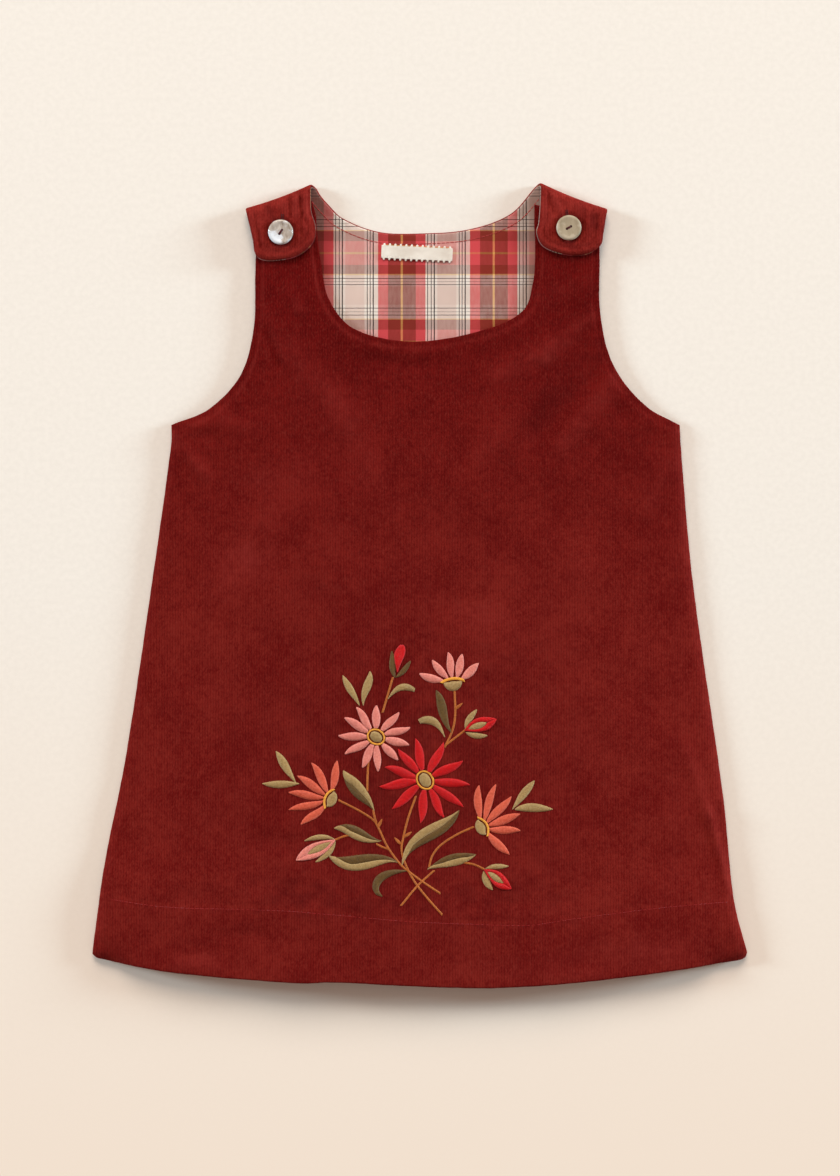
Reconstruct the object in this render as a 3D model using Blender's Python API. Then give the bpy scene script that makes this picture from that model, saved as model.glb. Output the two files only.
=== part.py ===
"""A small child's lined corduroy pinafore dress, buttoned and laid flat on its back.

The back panel lies on the surface. Its two straps run up past the shoulders, fold
over to the front as rounded tabs, and button down on the ends of the front straps.
The front panel lies on the back, joined to it along the side seams, and swells up
towards an open hem. Sizes are in millimetres, built in metres.

X runs across the dress, +Y towards the neck, +Z up from the surface it lies on.
The origin is under the middle of the dress, at the level of its flat underside.
"""
import math
from collections import namedtuple

import bmesh
import bpy
import numpy as np
from mathutils import Matrix, Vector
from mathutils.geometry import delaunay_2d_cdt

MM = 0.001

# ---- Cloth -------------------------------------------------------------------
CORD = 1.2           # needlecord, one layer
LINING = 1.0         # check cotton with its seam allowance
RIBBON = 1.0         # woven label
GAP = 0.3            # air between pieces that lie on or meet each other
HEM_DEPTH = 36.0     # how far the hem is turned up
HEM_EXTRA = 1.0      # what the turned-up layer adds to the wall
STITCH_STEP = 1.0    # how sharply the turned-up layer starts

# Levels of the underside of each layer, from the surface up.
BACK_LEVEL = 0.0
LINING_LEVEL = CORD + GAP
FRONT_LEVEL = LINING_LEVEL + LINING + GAP
TAB_LINING_LEVEL = FRONT_LEVEL + CORD + GAP
TAB_LEVEL = TAB_LINING_LEVEL + LINING + GAP
BUTTON_LEVEL = TAB_LEVEL + CORD + GAP
SEAM_LEVEL = CORD + GAP
FOLD_RADIUS = (TAB_LEVEL + CORD) / 2      # outside of the fold over the shoulder
FOLD_SAG = 0.9       # how far the middle of the fold hangs back from its ends
FOLD_STEPS = 6       # facets round the fold

# ---- Fit of the layers under one another, seen from above ---------------------
BACK_SIDE_INSET = 0.8
BACK_HEM_INSET = 3.0
LINING_SIDE_INSET = 7.0
LINING_EDGE_INSET = 1.0
LINING_TAB_SHOWS = 0.7      # how far the lining peeps out round a tab's end
UNDERARM_Y = 90.0           # below this the side edges are seams

Knot = namedtuple("Knot", "x y")

# ---- Cutting lines, anticlockwise, each through a few points -------------------
HEM = [Knot(*row) for row in (
    # x        y
    (-193.3, -218.4),
    (-190.5, -220.6),
    (-146.1, -228.3),
    (-70.6, -234.2),
    (-51.7, -233.6),
    (0.0, -236.0),
    (47.4, -236.9),
    (108.7, -232.4),
    (187.6, -222.1),
    (192.3, -220.4),
    (193.3, -217.4),
)]
RIGHT_SIDE = [Knot(*row) for row in (
    (193.3, -217.4),
    (185.4, -186.4),
    (179.5, -127.4),
    (161.2, 2.4),
    (154.0, 84.0),
    (153.6, 93.9),
)]
RIGHT_ARMHOLE = [Knot(*row) for row in (
    (153.6, 93.9),
    (133.5, 105.1),
    (114.6, 128.7),
    (106.8, 158.0),
    (106.2, 190.0),
    (106.4, 216.0),
)]
FRONT_NECK = [Knot(*row) for row in (
    (67.4, 223.7),
    (68.6, 197.0),
    (67.4, 178.0),
    (60.7, 161.1),
    (35.6, 149.3),
    (-5.1, 143.1),
    (-39.0, 150.8),
    (-53.5, 168.2),
    (-58.2, 190.0),
    (-63.0, 224.8),
)]
LEFT_ARMHOLE = [Knot(*row) for row in (
    (-95.4, 216.6),
    (-97.0, 185.0),
    (-97.8, 152.3),
    (-105.4, 124.0),
    (-124.0, 103.6),
    (-146.7, 93.9),
)]
LEFT_SIDE = [Knot(*row) for row in (
    (-146.7, 93.9),
    (-146.6, 84.0),
    (-157.9, 2.4),
    (-173.9, -103.8),
    (-185.6, -162.8),
    (-193.3, -218.4),
)]
BACK_NECK = [Knot(*row) for row in (
    (68.1, 234.5),
    (53.5, 218.7),
    (29.1, 209.7),
    (0.0, 207.3),
    (-24.6, 208.3),
    (-45.0, 215.4),
    (-56.5, 225.4),
    (-60.8, 233.6),
)]
BACK_RIGHT_ARMHOLE = [Knot(*row) for row in (
    (152.4, 93.2),
    (120.0, 107.0),
    (99.0, 133.0),
    (89.0, 162.0),
    (92.0, 192.0),
    (109.0, 218.4),
)]
BACK_LEFT_ARMHOLE = [Knot(*row) for row in (
    (-101.3, 218.7),
    (-87.0, 200.0),
    (-82.0, 176.0),
    (-86.5, 149.9),
    (-116.0, 106.0),
    (-145.2, 93.2),
)]

# ---- Shoulder folds and the tabs that hang from them, as they lie -------------
Fold = namedtuple("Fold", "side outer_x outer_y inner_x inner_y")
FOLDS = {
    "left": Fold(-1, -102.5, 221.9, -64.6, 235.8),
    "right": Fold(1, 110.6, 221.5, 71.3, 236.9),
}
# Edge of each tab from the inner end of its fold, round its end, to the outer end.
TABS = {
    "left": [Knot(*row) for row in (
        (-64.5, 232.3),
        (-64.2, 219.9),
        (-61.5, 210.0),
        (-63.2, 201.3),
        (-72.5, 193.6),
        (-85.7, 190.9),
        (-93.6, 191.6),
        (-97.0, 194.8),
        (-98.3, 202.7),
        (-102.0, 218.5),
    )],
    "right": [Knot(*row) for row in (
        (71.5, 233.2),
        (71.4, 222.0),
        (69.0, 206.8),
        (73.2, 198.8),
        (87.1, 194.2),
        (98.5, 194.7),
        (106.6, 199.6),
        (108.3, 207.0),
        (110.2, 218.1),
    )],
}

# ---- How high the front swells over the back, at its middle --------------------
Swell = namedtuple("Swell", "y height")
SWELLS = [Swell(*row) for row in (
    # y       height
    (-240.0, 9.4),
    (-190.0, 8.6),
    (-100.0, 6.8),
    (0.0, 5.2),
    (60.0, 4.0),
    (110.0, 2.6),
    (150.0, 1.3),
    (185.0, 0.0),
    (240.0, 0.0),
)]
SWELL_SHOULDER = 2.5        # how square the swell is across the dress
SEAM_RISE = 6.0             # distance from a side seam where the front clears the lining
HEM_RAMP = 14.0             # length over which the cloth climbs onto the thick hem

# ---- The largest folds of the front: ridges are high, troughs low --------------
Crease = namedtuple("Crease", "x0 y0 x1 y1 width height")
CREASES = [Crease(*row) for row in (
    # x0     y0      x1     y1    width height
    (103.0, 148.0, 52.0, 120.0, 8.0, 1.6),
    (91.0, 123.0, 62.0, 82.0, 8.0, -1.3),
    (110.0, 117.0, 86.0, 76.0, 9.0, 1.3),
    (-86.0, 136.0, -44.0, 96.0, 10.0, 1.1),
    (-44.0, 96.0, -30.0, 62.0, 10.0, 0.8),
    (-143.0, 84.0, -126.0, 60.0, 6.0, 1.1),
    (160.0, -112.0, 180.0, -172.0, 6.0, 1.4),
    (-114.0, -2.0, -98.0, 6.0, 16.0, 0.9),
    (28.0, -26.0, 46.0, -23.0, 16.0, 0.9),
    (-98.0, -175.0, -66.0, -183.0, 7.0, -0.9),
    (-146.0, -184.0, -124.0, -183.0, 7.0, -0.8),
    (64.0, -184.0, 84.0, -185.0, 7.0, -0.8),
)]

# ---- Label and buttons -----------------------------------------------------------
LABEL_SIZE = (41.6, 8.8)
LABEL_AT = (-1.6, 195.0)
LABEL_TILT = -2.8           # degrees
LABEL_TEETH = 13
LABEL_TOOTH = 0.9

BUTTON_RADIUS = 7.4
BUTTON_THICK = 2.4
BUTTON_RIM = 1.5
BUTTON_DISH = 0.7
BUTTON_SIDES = 24
BUTTON_HOLE_RADIUS = 0.95
BUTTON_HOLE_SPACING = 3.2
BUTTON_HOLE_SIDES = 10
Button = namedtuple("Button", "x y thread_angle")
BUTTONS = {
    "left": Button(-81.8, 207.2, 55.0),
    "right": Button(87.8, 209.7, 30.0),
}

# ---- Mesh density ------------------------------------------------------------------
EDGE_STEP = 9.0             # along cutting lines
FINE_STEP = 5.0             # round tabs and necks
FRONT_STEP = 13.0           # inside the front
CHEST_STEP = 9.5            # inside the front's chest, where its folds are
CHEST_FROM = 50.0
FLAT_STEP = 26.0            # inside pieces that lie flat
SAME_POINT = 1e-4

# Colours: linear red, green, blue, and roughness.
Finish = namedtuple("Finish", "colour roughness")
FINISHES = {
    "corduroy": Finish((0.155, 0.011, 0.009), 0.9),
    "check_cotton": Finish((0.45, 0.16, 0.14), 0.85),
    "ribbon": Finish((0.72, 0.68, 0.58), 0.7),
    "shell": Finish((0.50, 0.45, 0.37), 0.25),
}


def clear_scene():
    for thing in list(bpy.data.objects):
        bpy.data.objects.remove(thing, do_unlink=True)


def material(name):
    finish = FINISHES[name]
    made = bpy.data.materials.new(name)
    made.use_nodes = True
    shader = made.node_tree.nodes["Principled BSDF"]
    shader.inputs["Base Color"].default_value = (*finish.colour, 1.0)
    shader.inputs["Roughness"].default_value = finish.roughness
    shader.inputs["Metallic"].default_value = 0.0
    return made


# ---- Plane geometry ------------------------------------------------------------------
def curve(knots, step):
    """Points about a step apart on a smooth curve through the knots."""
    points = [Vector((knot.x, knot.y)) for knot in knots]
    ends = [points[0] * 2 - points[1]] + points + [points[-1] * 2 - points[-2]]
    line = []
    for before, start, end, after in zip(ends, ends[1:], ends[2:], ends[3:]):
        span = (end - start).length
        leave = (end - before) * (span / (end - before).length)
        arrive = (after - start) * (span / (after - start).length)
        pieces = max(1, round(span / step))
        for piece in range(pieces):
            t = piece / pieces
            line.append(start * (2 * t**3 - 3 * t**2 + 1) + leave * (t**3 - 2 * t**2 + t)
                        + end * (3 * t**2 - 2 * t**3) + arrive * (t**3 - t**2))
    return line + [points[-1]]


def inset(line, distance):
    """The line moved to its left, which is into the cloth."""
    moved = []
    for index, point in enumerate(line):
        ahead = line[min(index + 1, len(line) - 1)] - line[max(index - 1, 0)]
        moved.append(point + Vector((-ahead.y, ahead.x)).normalized() * distance)
    return moved


def height_at(line, x):
    """The line's y at a given x, for a line that runs across the dress."""
    rows = sorted((point.x, point.y) for point in line)
    return float(np.interp(x, [row[0] for row in rows], [row[1] for row in rows]))


def width_at(line, y):
    """The line's x at a given y, for a line that runs up the dress."""
    rows = sorted((point.y, point.x) for point in line)
    return float(np.interp(y, [row[0] for row in rows], [row[1] for row in rows]))


def distance_to(points, line, closed=False):
    """Distance of many points from a line of straight pieces."""
    ends = line + [line[0]] if closed else line
    nearest = np.full(len(points), np.inf)
    for start, end in zip(ends, ends[1:]):
        a = np.array(start)
        b = np.array(end) - a
        t = np.clip((points - a) @ b / max(b @ b, 1e-12), 0, 1)
        nearest = np.minimum(nearest, np.linalg.norm(points - a - t[:, None] * b, axis=1))
    return nearest


def inside(points, line):
    """Which of many points lie inside a closed line."""
    within = np.zeros(len(points), bool)
    x, y = points.T
    for start, end in zip(line, line[1:] + [line[0]]):
        crosses = (start.y > y) != (end.y > y)
        reach = start.x + (y - start.y) * (end.x - start.x) / ((end.y - start.y) or 1e-12)
        within ^= crosses & (x < reach)
    return within


def grid(outline, step, rows, y_from=-math.inf, y_to=math.inf):
    """A triangular grid inside an outline, clear of it and of the given rows."""
    xs = [point.x for point in outline]
    ys = [point.y for point in outline]
    low = max(min(ys), y_from)
    high = min(max(ys), y_to)
    lift = step * math.sqrt(3) / 2
    spots = []
    for line in range(int((high - low) / lift) + 1):
        shift = step / 2 * (line % 2)
        count = int((max(xs) - min(xs)) / step) + 2
        spots += [(min(xs) + shift + step * place, low + lift * line) for place in range(count)]
    spots = np.array(spots)
    keep = inside(spots, outline) & (distance_to(spots, outline, closed=True) > step * 0.55)
    for row in rows:
        keep &= distance_to(spots, row) > step * 0.45
    return [Vector(spot) for spot in spots[keep]]


def smooth(value, low, high):
    t = min(max((value - low) / (high - low), 0.0), 1.0)
    return t * t * (3 - 2 * t)


# ---- Cutting lines, sampled ------------------------------------------------------------
hem_line = curve(HEM, EDGE_STEP)
right_side = curve(RIGHT_SIDE, EDGE_STEP)
left_side = curve(LEFT_SIDE, EDGE_STEP)
front_edge_right = right_side + curve(RIGHT_ARMHOLE, EDGE_STEP)
front_edge_left = curve(LEFT_ARMHOLE, EDGE_STEP) + left_side


def hem_stitch_row(offset, margin):
    """Points along the hem stitching, a given way above it and short of the sides."""
    row = []
    for point in curve(HEM, FRONT_STEP):
        y = height_at(hem_line, point.x) + HEM_DEPTH + offset
        if width_at(left_side, y) + margin < point.x < width_at(right_side, y) - margin:
            row.append(Vector((point.x, y)))
    return row


def in_hem(x, y):
    """1 in the turned-up hem, 0 above it, changing over the stitch step."""
    top = height_at(hem_line, x) + HEM_DEPTH
    return 1 - smooth(y, top - STITCH_STEP / 2, top + STITCH_STEP / 2)


# ---- The front's height ------------------------------------------------------------------
def crease_height(x, y):
    """Sum of the large folds at a point."""
    total = 0.0
    for crease in CREASES:
        along = Vector((crease.x1 - crease.x0, crease.y1 - crease.y0))
        offset = Vector((x - crease.x0, y - crease.y0))
        t = min(max(offset.dot(along) / along.length_squared, 0.0), 1.0)
        away = (offset - along * t).length / crease.width
        total += crease.height * math.exp(-away * away)
    return total


def front_top(x, y):
    """Height of the front panel's outer face."""
    left = width_at(front_edge_left, y)
    right = width_at(front_edge_right, y)
    across = min(max((x - left) / (right - left), 0.0), 1.0)
    arch = max(1 - abs(2 * across - 1) ** SWELL_SHOULDER, 0.0) ** 0.9
    swell = float(np.interp(y, [row.y for row in SWELLS], [row.height for row in SWELLS]))
    from_seam = min(x - width_at(left_side, y), width_at(right_side, y) - x)
    clears = smooth(from_seam, 0, SEAM_RISE)
    hem_top = height_at(hem_line, x) + HEM_DEPTH
    onto_hem = 1 - smooth(y, hem_top, hem_top + HEM_RAMP)
    base = SEAM_LEVEL + (FRONT_LEVEL - SEAM_LEVEL) * clears + 2 * HEM_EXTRA * onto_hem
    lift = swell * arch + crease_height(x, y) * min(1.0, swell * arch)
    return base + max(lift, 0.0) + CORD


def place_front(point):
    top = front_top(point.x, point.y)
    thick = CORD + HEM_EXTRA * in_hem(point.x, point.y)
    return Vector((point.x, point.y, top - thick)), Vector((point.x, point.y, top))


# ---- Shoulder folds --------------------------------------------------------------------------
class Shoulder:
    """A fold over the shoulder: the flat cut runs on past it, the cloth turns back."""

    def __init__(self, fold):
        self.side = fold.side
        self.outer = Vector((fold.outer_x, fold.outer_y))
        inner = Vector((fold.inner_x, fold.inner_y))
        self.length = (inner - self.outer).length
        self.along = (inner - self.outer).normalized()
        across = Vector((-self.along.y, self.along.x))
        self.outward = across if across.y > 0 else -across
        self.axis = self.outer - self.outward * FOLD_RADIUS

    def split(self, point):
        """How far a point is along the fold, and past its axis."""
        offset = point - self.axis
        return offset.dot(self.along), offset.dot(self.outward)

    def join(self, along, past):
        return self.axis + self.along * along + self.outward * past

    def unfold(self, point, radius):
        """Where a point of the tab, as it lies, is in the flat cut."""
        along, past = self.split(point)
        return self.join(along, math.pi * radius - past)

    def sag(self, along, past):
        """The small hollow in the middle of the fold."""
        middle = 1 - (2 * along / self.length - 1) ** 2
        return self.outward * (-FOLD_SAG * max(middle, 0.0) * math.exp(-((past / 12) ** 2)))

    def place(self, point, radius, level, thick):
        """Outer and inner face of the folded cloth at a point of the flat cut."""
        along, past = self.split(point)
        turned = min(max(past / radius, 0.0), math.pi)
        over = max(past - math.pi * radius, 0.0)
        flat = past if past < 0 else -over
        plan = self.join(along, flat + radius * math.sin(turned)) + self.sag(along, flat)
        rise = radius * (1 - math.cos(turned))
        middle = Vector((plan.x, plan.y, level + thick / 2 + rise))
        normal = Vector((*(self.outward * math.sin(turned)), -math.cos(turned)))
        return middle + normal * thick / 2, middle - normal * thick / 2


SHOULDERS = {side: Shoulder(fold) for side, fold in FOLDS.items()}


def strap_beyond_fold(side, lower_inner, lower_outer, radius, grow, step):
    """The flat cut past a fold: round the fold, round the tab, and back."""
    shoulder = SHOULDERS[side]
    tab = curve(TABS[side], step)
    if grow:
        tab = inset(tab, grow * -shoulder.side)
    flat_tab = [shoulder.unfold(point, radius) for point in tab]
    edges = []
    for lower, upper in ((lower_inner, flat_tab[0]), (lower_outer, flat_tab[-1])):
        start = shoulder.split(lower)[0]
        end = shoulder.split(upper)[0]
        edges.append([shoulder.join(start + (end - start) * part / FOLD_STEPS,
                                    math.pi * radius * part / FOLD_STEPS)
                      for part in range(FOLD_STEPS + 1)])
    inner_edge, outer_edge = edges
    rows = []
    for part in range(FOLD_STEPS + 1):
        row_ends = inner_edge[part], outer_edge[part]
        count = max(2, round((row_ends[1] - row_ends[0]).length / EDGE_STEP))
        rows.append([row_ends[0].lerp(row_ends[1], place / count)
                     for place in range(count + 1)])
    past_fold = [point for point in flat_tab[1:-1]
                 if shoulder.split(point)[1] > math.pi * radius + 1.0]
    return inner_edge + past_fold + outer_edge[::-1], rows


def back_outline(radius, side_inset, hem, edge_inset, grow):
    """Flat cut of the back with its straps, and the rows that its folds need."""
    right = inset(right_side, side_inset)
    left = inset(left_side, side_inset)
    hem_top = max(point.y for point in (hem[0], hem[-1]))
    right = [point for point in right if hem_top + 2 < point.y < UNDERARM_Y - side_inset]
    left = [point for point in left if hem_top + 2 < point.y < UNDERARM_Y - side_inset]
    right_arm = inset(curve(BACK_RIGHT_ARMHOLE, EDGE_STEP), edge_inset)
    left_arm = inset(curve(BACK_LEFT_ARMHOLE, EDGE_STEP), edge_inset)
    neck = inset(curve(BACK_NECK, FINE_STEP), edge_inset)
    right_arm = [point for point in right_arm if point.x < right[-1].x - side_inset / 2]
    left_arm = [point for point in left_arm if point.x > left[0].x + side_inset / 2]
    right_strap, right_rows = strap_beyond_fold("right", neck[0], right_arm[-1],
                                                radius, grow, FINE_STEP)
    left_strap, left_rows = strap_beyond_fold("left", neck[-1], left_arm[0],
                                              radius, grow, FINE_STEP)
    outline = (hem + right + right_arm[:-1] + right_strap[::-1] + neck[1:-1]
               + left_strap + left_arm[1:] + left)
    return outline, right_rows + left_rows


def place_on_back(point, radius, level, thick):
    """Outer and inner face of a back layer, folded over where a strap passes its fold."""
    for shoulder in SHOULDERS.values():
        along, past = shoulder.split(point)
        near = -20 < along < shoulder.length + 20
        if near and past > -40:
            return shoulder.place(point, radius, level, thick)
    return (Vector((point.x, point.y, level)), Vector((point.x, point.y, level + thick)))


# ---- Solids ------------------------------------------------------------------------------------
def cloth(name, finish, outline, inner_points, place, rows=()):
    """A closed cloth wall: the flat cut is triangulated, then both faces are placed.

    No triangle crosses the rows, so that a fold keeps its facets.
    """
    count = len(outline)
    edges = [(index, (index + 1) % count) for index in range(count)]
    points = outline + inner_points
    for row in rows:
        first = len(points)
        points = points + row
        edges += [(first + step, first + step + 1) for step in range(len(row) - 1)]
    flat, _, faces, *_ = delaunay_2d_cdt(points, edges, [list(range(count))], 1, SAME_POINT)
    mesh = bmesh.new()
    placed = [place(point) for point in flat]
    outer = [mesh.verts.new(pair[0] * MM) for pair in placed]
    inner = [mesh.verts.new(pair[1] * MM) for pair in placed]
    used = set()
    for face in faces:
        mesh.faces.new([inner[corner] for corner in face])
        mesh.faces.new([outer[corner] for corner in reversed(face)])
        used.update(zip(face, face[1:] + face[:1]))
    for start, end in used:
        if (end, start) not in used:
            mesh.faces.new((outer[start], outer[end], inner[end], inner[start]))
    bmesh.ops.triangulate(mesh, faces=[face for face in mesh.faces if len(face.verts) > 3])
    return finish_mesh(name, finish, mesh)


def finish_mesh(name, finish, mesh):
    data = bpy.data.meshes.new(name)
    bmesh.ops.recalc_face_normals(mesh, faces=mesh.faces)
    mesh.to_mesh(data)
    mesh.free()
    made = bpy.data.objects.new(name, data)
    bpy.context.collection.objects.link(made)
    if finish:
        data.materials.append(materials[finish])
        data.shade_smooth()
        data.set_sharp_from_angle(angle=math.radians(40))
    return made


def hem_stitch_rows():
    """The two rows between which the turned-up layer starts."""
    return [hem_stitch_row(offset, SEAM_RISE / 2) for offset in (-STITCH_STEP / 2,
                                                                 STITCH_STEP / 2)]


def front_panel():
    left_arm = curve(LEFT_ARMHOLE, EDGE_STEP)
    right_arm = curve(RIGHT_ARMHOLE, EDGE_STEP)
    neck = curve(FRONT_NECK, FINE_STEP)
    outline = (hem_line[:-1] + right_side[:-1] + right_arm + neck + left_arm[:-1]
               + left_side[:-1])
    stitching = hem_stitch_rows()
    beside_seams = [[point for point in inset(side, SEAM_RISE)
                     if hem_line[0].y + SEAM_RISE < point.y < UNDERARM_Y - 1
                     and in_hem(point.x, point.y + 2) == in_hem(point.x, point.y - 2)]
                    for side in (left_side, right_side)]
    rows = stitching + beside_seams
    inner = sum(beside_seams, [])
    inner += grid(outline, FRONT_STEP, rows, y_to=CHEST_FROM)
    inner += grid(outline, CHEST_STEP, rows, y_from=CHEST_FROM + CHEST_STEP)
    return cloth("front_panel", "corduroy", outline, inner, place_front, stitching)


def back_panel():
    radius = FOLD_RADIUS - CORD / 2
    hem = inset(hem_line, BACK_HEM_INSET)[1:-1]
    outline, folds = back_outline(radius, BACK_SIDE_INSET, hem, 0.0, 0.0)
    rows = folds + hem_stitch_rows()
    inner = grid(outline, FLAT_STEP, rows)

    def place(point):
        outer, upper = place_on_back(point, radius, BACK_LEVEL, CORD)
        if point.y < 0:
            upper.z += HEM_EXTRA * in_hem(point.x, point.y)
        return outer, upper

    return cloth("back_panel", "corduroy", outline, inner, place, rows)


def back_lining():
    radius = FOLD_RADIUS - CORD - GAP - LINING / 2
    hem = hem_stitch_row(STITCH_STEP + GAP, LINING_SIDE_INSET + 4)
    outline, folds = back_outline(radius, LINING_SIDE_INSET, hem, LINING_EDGE_INSET,
                                  LINING_TAB_SHOWS)

    def place(point):
        return place_on_back(point, radius, LINING_LEVEL, LINING)

    return cloth("back_lining", "check_cotton", outline, grid(outline, FLAT_STEP, folds),
                 place, folds)


def label():
    long_side, short_side = LABEL_SIZE
    pitch = long_side / LABEL_TEETH
    lower = []
    for tooth in range(LABEL_TEETH):
        start = -long_side / 2 + pitch * tooth
        lower += [Vector((start, -short_side / 2 + LABEL_TOOTH)),
                  Vector((start + pitch / 2, -short_side / 2))]
    lower.append(Vector((long_side / 2, -short_side / 2 + LABEL_TOOTH)))
    turn = Matrix.Rotation(math.radians(LABEL_TILT), 2)
    centre = Vector(LABEL_AT)
    outline = [turn @ point + centre for point in lower + [-point for point in lower]]
    level = LINING_LEVEL + LINING + GAP
    return cloth("label", "ribbon", outline, [],
                 lambda point: (Vector((*point, level)), Vector((*point, level + RIBBON))))


def disc(name, radius, low, high, sides, centres):
    """Upright cylinders in one mesh, to cut with."""
    mesh = bmesh.new()
    for x, y in centres:
        spot = Matrix.Translation(Vector((x, y, (low + high) / 2)) * MM)
        bmesh.ops.create_cone(mesh, cap_ends=True, segments=sides, radius1=radius * MM,
                              radius2=radius * MM, depth=(high - low) * MM, matrix=spot)
    made = finish_mesh(name, None, mesh)
    made.hide_render = True
    made.display_type = "WIRE"
    return made


def button(side):
    """A turned two-hole button: flat back, rounded rim and a shallow dish."""
    spec = BUTTONS[side]
    profile = [
        (0.0, BUTTON_THICK - BUTTON_DISH),
        (BUTTON_RADIUS - 2.6 * BUTTON_RIM, BUTTON_THICK - BUTTON_DISH),
        (BUTTON_RADIUS - 1.4 * BUTTON_RIM, BUTTON_THICK - 0.15),
        (BUTTON_RADIUS - 0.8 * BUTTON_RIM, BUTTON_THICK),
        (BUTTON_RADIUS - 0.2 * BUTTON_RIM, BUTTON_THICK - 0.45),
        (BUTTON_RADIUS, BUTTON_THICK - 1.1),
        (BUTTON_RADIUS - 0.5, 0.25),
        (BUTTON_RADIUS - 1.2, 0.0),
        (0.0, 0.0),
    ]
    mesh = bmesh.new()
    corners = [mesh.verts.new(Vector((radius, 0, height)) * MM) for radius, height in profile]
    line = [mesh.edges.new(pair) for pair in zip(corners, corners[1:])]
    bmesh.ops.spin(mesh, geom=corners + line, cent=(0, 0, 0), axis=(0, 0, 1),
                   angle=2 * math.pi, steps=BUTTON_SIDES, use_merge=True)
    bmesh.ops.remove_doubles(mesh, verts=mesh.verts, dist=1e-6)
    made = finish_mesh(f"button_{side}", "shell", mesh)
    made.location = Vector((spec.x, spec.y, BUTTON_LEVEL)) * MM
    angle = math.radians(spec.thread_angle)
    reach = BUTTON_HOLE_SPACING / 2
    centres = [(reach * sign * math.cos(angle), reach * sign * math.sin(angle))
               for sign in (-1, 1)]
    holes = disc(f"holes_{side}", BUTTON_HOLE_RADIUS, -1, BUTTON_THICK + 1,
                 BUTTON_HOLE_SIDES, centres)
    holes.parent = made
    cut = made.modifiers.new("holes", "BOOLEAN")
    cut.operation = "DIFFERENCE"
    cut.solver = "EXACT"
    cut.object = holes
    return made


clear_scene()
materials = {name: material(name) for name in FINISHES}
back_panel()
back_lining()
front_panel()
label()
for button_side in BUTTONS:
    button(button_side)
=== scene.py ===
# %% [markdown]
# # A small child's corduroy pinafore dress, laid flat
# The real dress is two panels of dark red needlecord, a cotton check lining that shows in
# the neck, two shell buttons, a woven label and a spray of flowers in satin stitch above
# the hem. It lies on its back, with its two back straps folded over the shoulders and
# buttoned down.
#
# Everything below is worked out in millimetres from the same cutting lines as the solids,
# and turned into metres as each mesh is made. That way each thin shell of cloth lies
# exactly where its solid lies, and what is sewn on it can ask the cloth how high it is.

# %% Load the frame
import math

import bmesh
import bpy
import numpy as np
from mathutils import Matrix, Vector
from mathutils.geometry import delaunay_2d_cdt
from mathutils.kdtree import KDTree


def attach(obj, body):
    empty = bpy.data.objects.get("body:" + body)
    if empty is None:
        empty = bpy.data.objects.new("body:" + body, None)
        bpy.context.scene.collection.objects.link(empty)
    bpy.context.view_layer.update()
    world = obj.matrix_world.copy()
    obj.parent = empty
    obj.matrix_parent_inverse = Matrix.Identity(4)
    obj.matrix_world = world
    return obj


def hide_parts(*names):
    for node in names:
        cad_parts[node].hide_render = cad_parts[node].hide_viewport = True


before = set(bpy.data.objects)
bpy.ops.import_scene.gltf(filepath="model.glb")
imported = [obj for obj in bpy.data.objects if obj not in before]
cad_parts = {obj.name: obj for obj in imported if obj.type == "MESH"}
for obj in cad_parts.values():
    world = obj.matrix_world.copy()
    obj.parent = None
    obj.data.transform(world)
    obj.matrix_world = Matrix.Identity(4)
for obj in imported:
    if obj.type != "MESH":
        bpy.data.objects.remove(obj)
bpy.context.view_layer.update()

MM = 0.001

# %% [markdown]
# ## The cloth's measures
# A garment is layers, so its heights come first: back panel, lining, front panel, then the
# tab with its own lining, then the button. Each underside is the layer below plus a hair
# of air. A needlecord is named by its wales, the fine upright cords: this one has a wale
# every 1.6 mm.

# %% Layers, levels and wales
CORD = 1.2  # thickness of each cloth
LINING = 1.0
RIBBON = 0.5
GAP = 0.3  # air between two layers
HEM_DEPTH = 36.0
HEM_EXTRA = 1.0  # how much the turned-up hem adds to the cloth
BACK_LEVEL = 0.0
LINING_LEVEL = CORD + GAP
FRONT_LEVEL = LINING_LEVEL + LINING + GAP
TAB_LEVEL = FRONT_LEVEL + CORD + GAP + LINING + GAP
BUTTON_LEVEL = TAB_LEVEL + CORD + GAP
SEAM_LEVEL = CORD + GAP
FOLD_RADIUS = (TAB_LEVEL + CORD) / 2
FOLD_SAG = 0.9
FOLD_SAG_REACH = 12
FOLD_STEPS = 14
WALE = 1.6
WALE_RISE = 0.045
print("levels", np.round([LINING_LEVEL, FRONT_LEVEL, TAB_LEVEL, BUTTON_LEVEL], 2))

# %% [markdown]
# ## Cutting lines
# A pattern cutter draws few points and joins them with a long curve. The same is done here:
# each line is a short table of knots, and a smooth curve goes through them. Straight
# segments would need far more points and still show corners.

# %% Curves and plane geometry


def curve(knots, step):
    """Points about a step apart on a smooth curve through the knots."""
    points = np.array(knots, float)
    ends = np.vstack([2 * points[0] - points[1], points, 2 * points[-1] - points[-2]])
    line = []
    for before, start, end, after in zip(ends, ends[1:], ends[2:], ends[3:]):
        span = np.linalg.norm(end - start)
        leave = (end - before) * span / np.linalg.norm(end - before)
        arrive = (after - start) * span / np.linalg.norm(after - start)
        count = max(1, round(span / step))
        t = np.arange(count)[:, None] / count
        line.append(start * (2 * t**3 - 3 * t**2 + 1) + leave * (t**3 - 2 * t**2 + t)
                    + end * (3 * t**2 - 2 * t**3) + arrive * (t**3 - t**2))
    return np.vstack(line + [points[-1:]])


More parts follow.
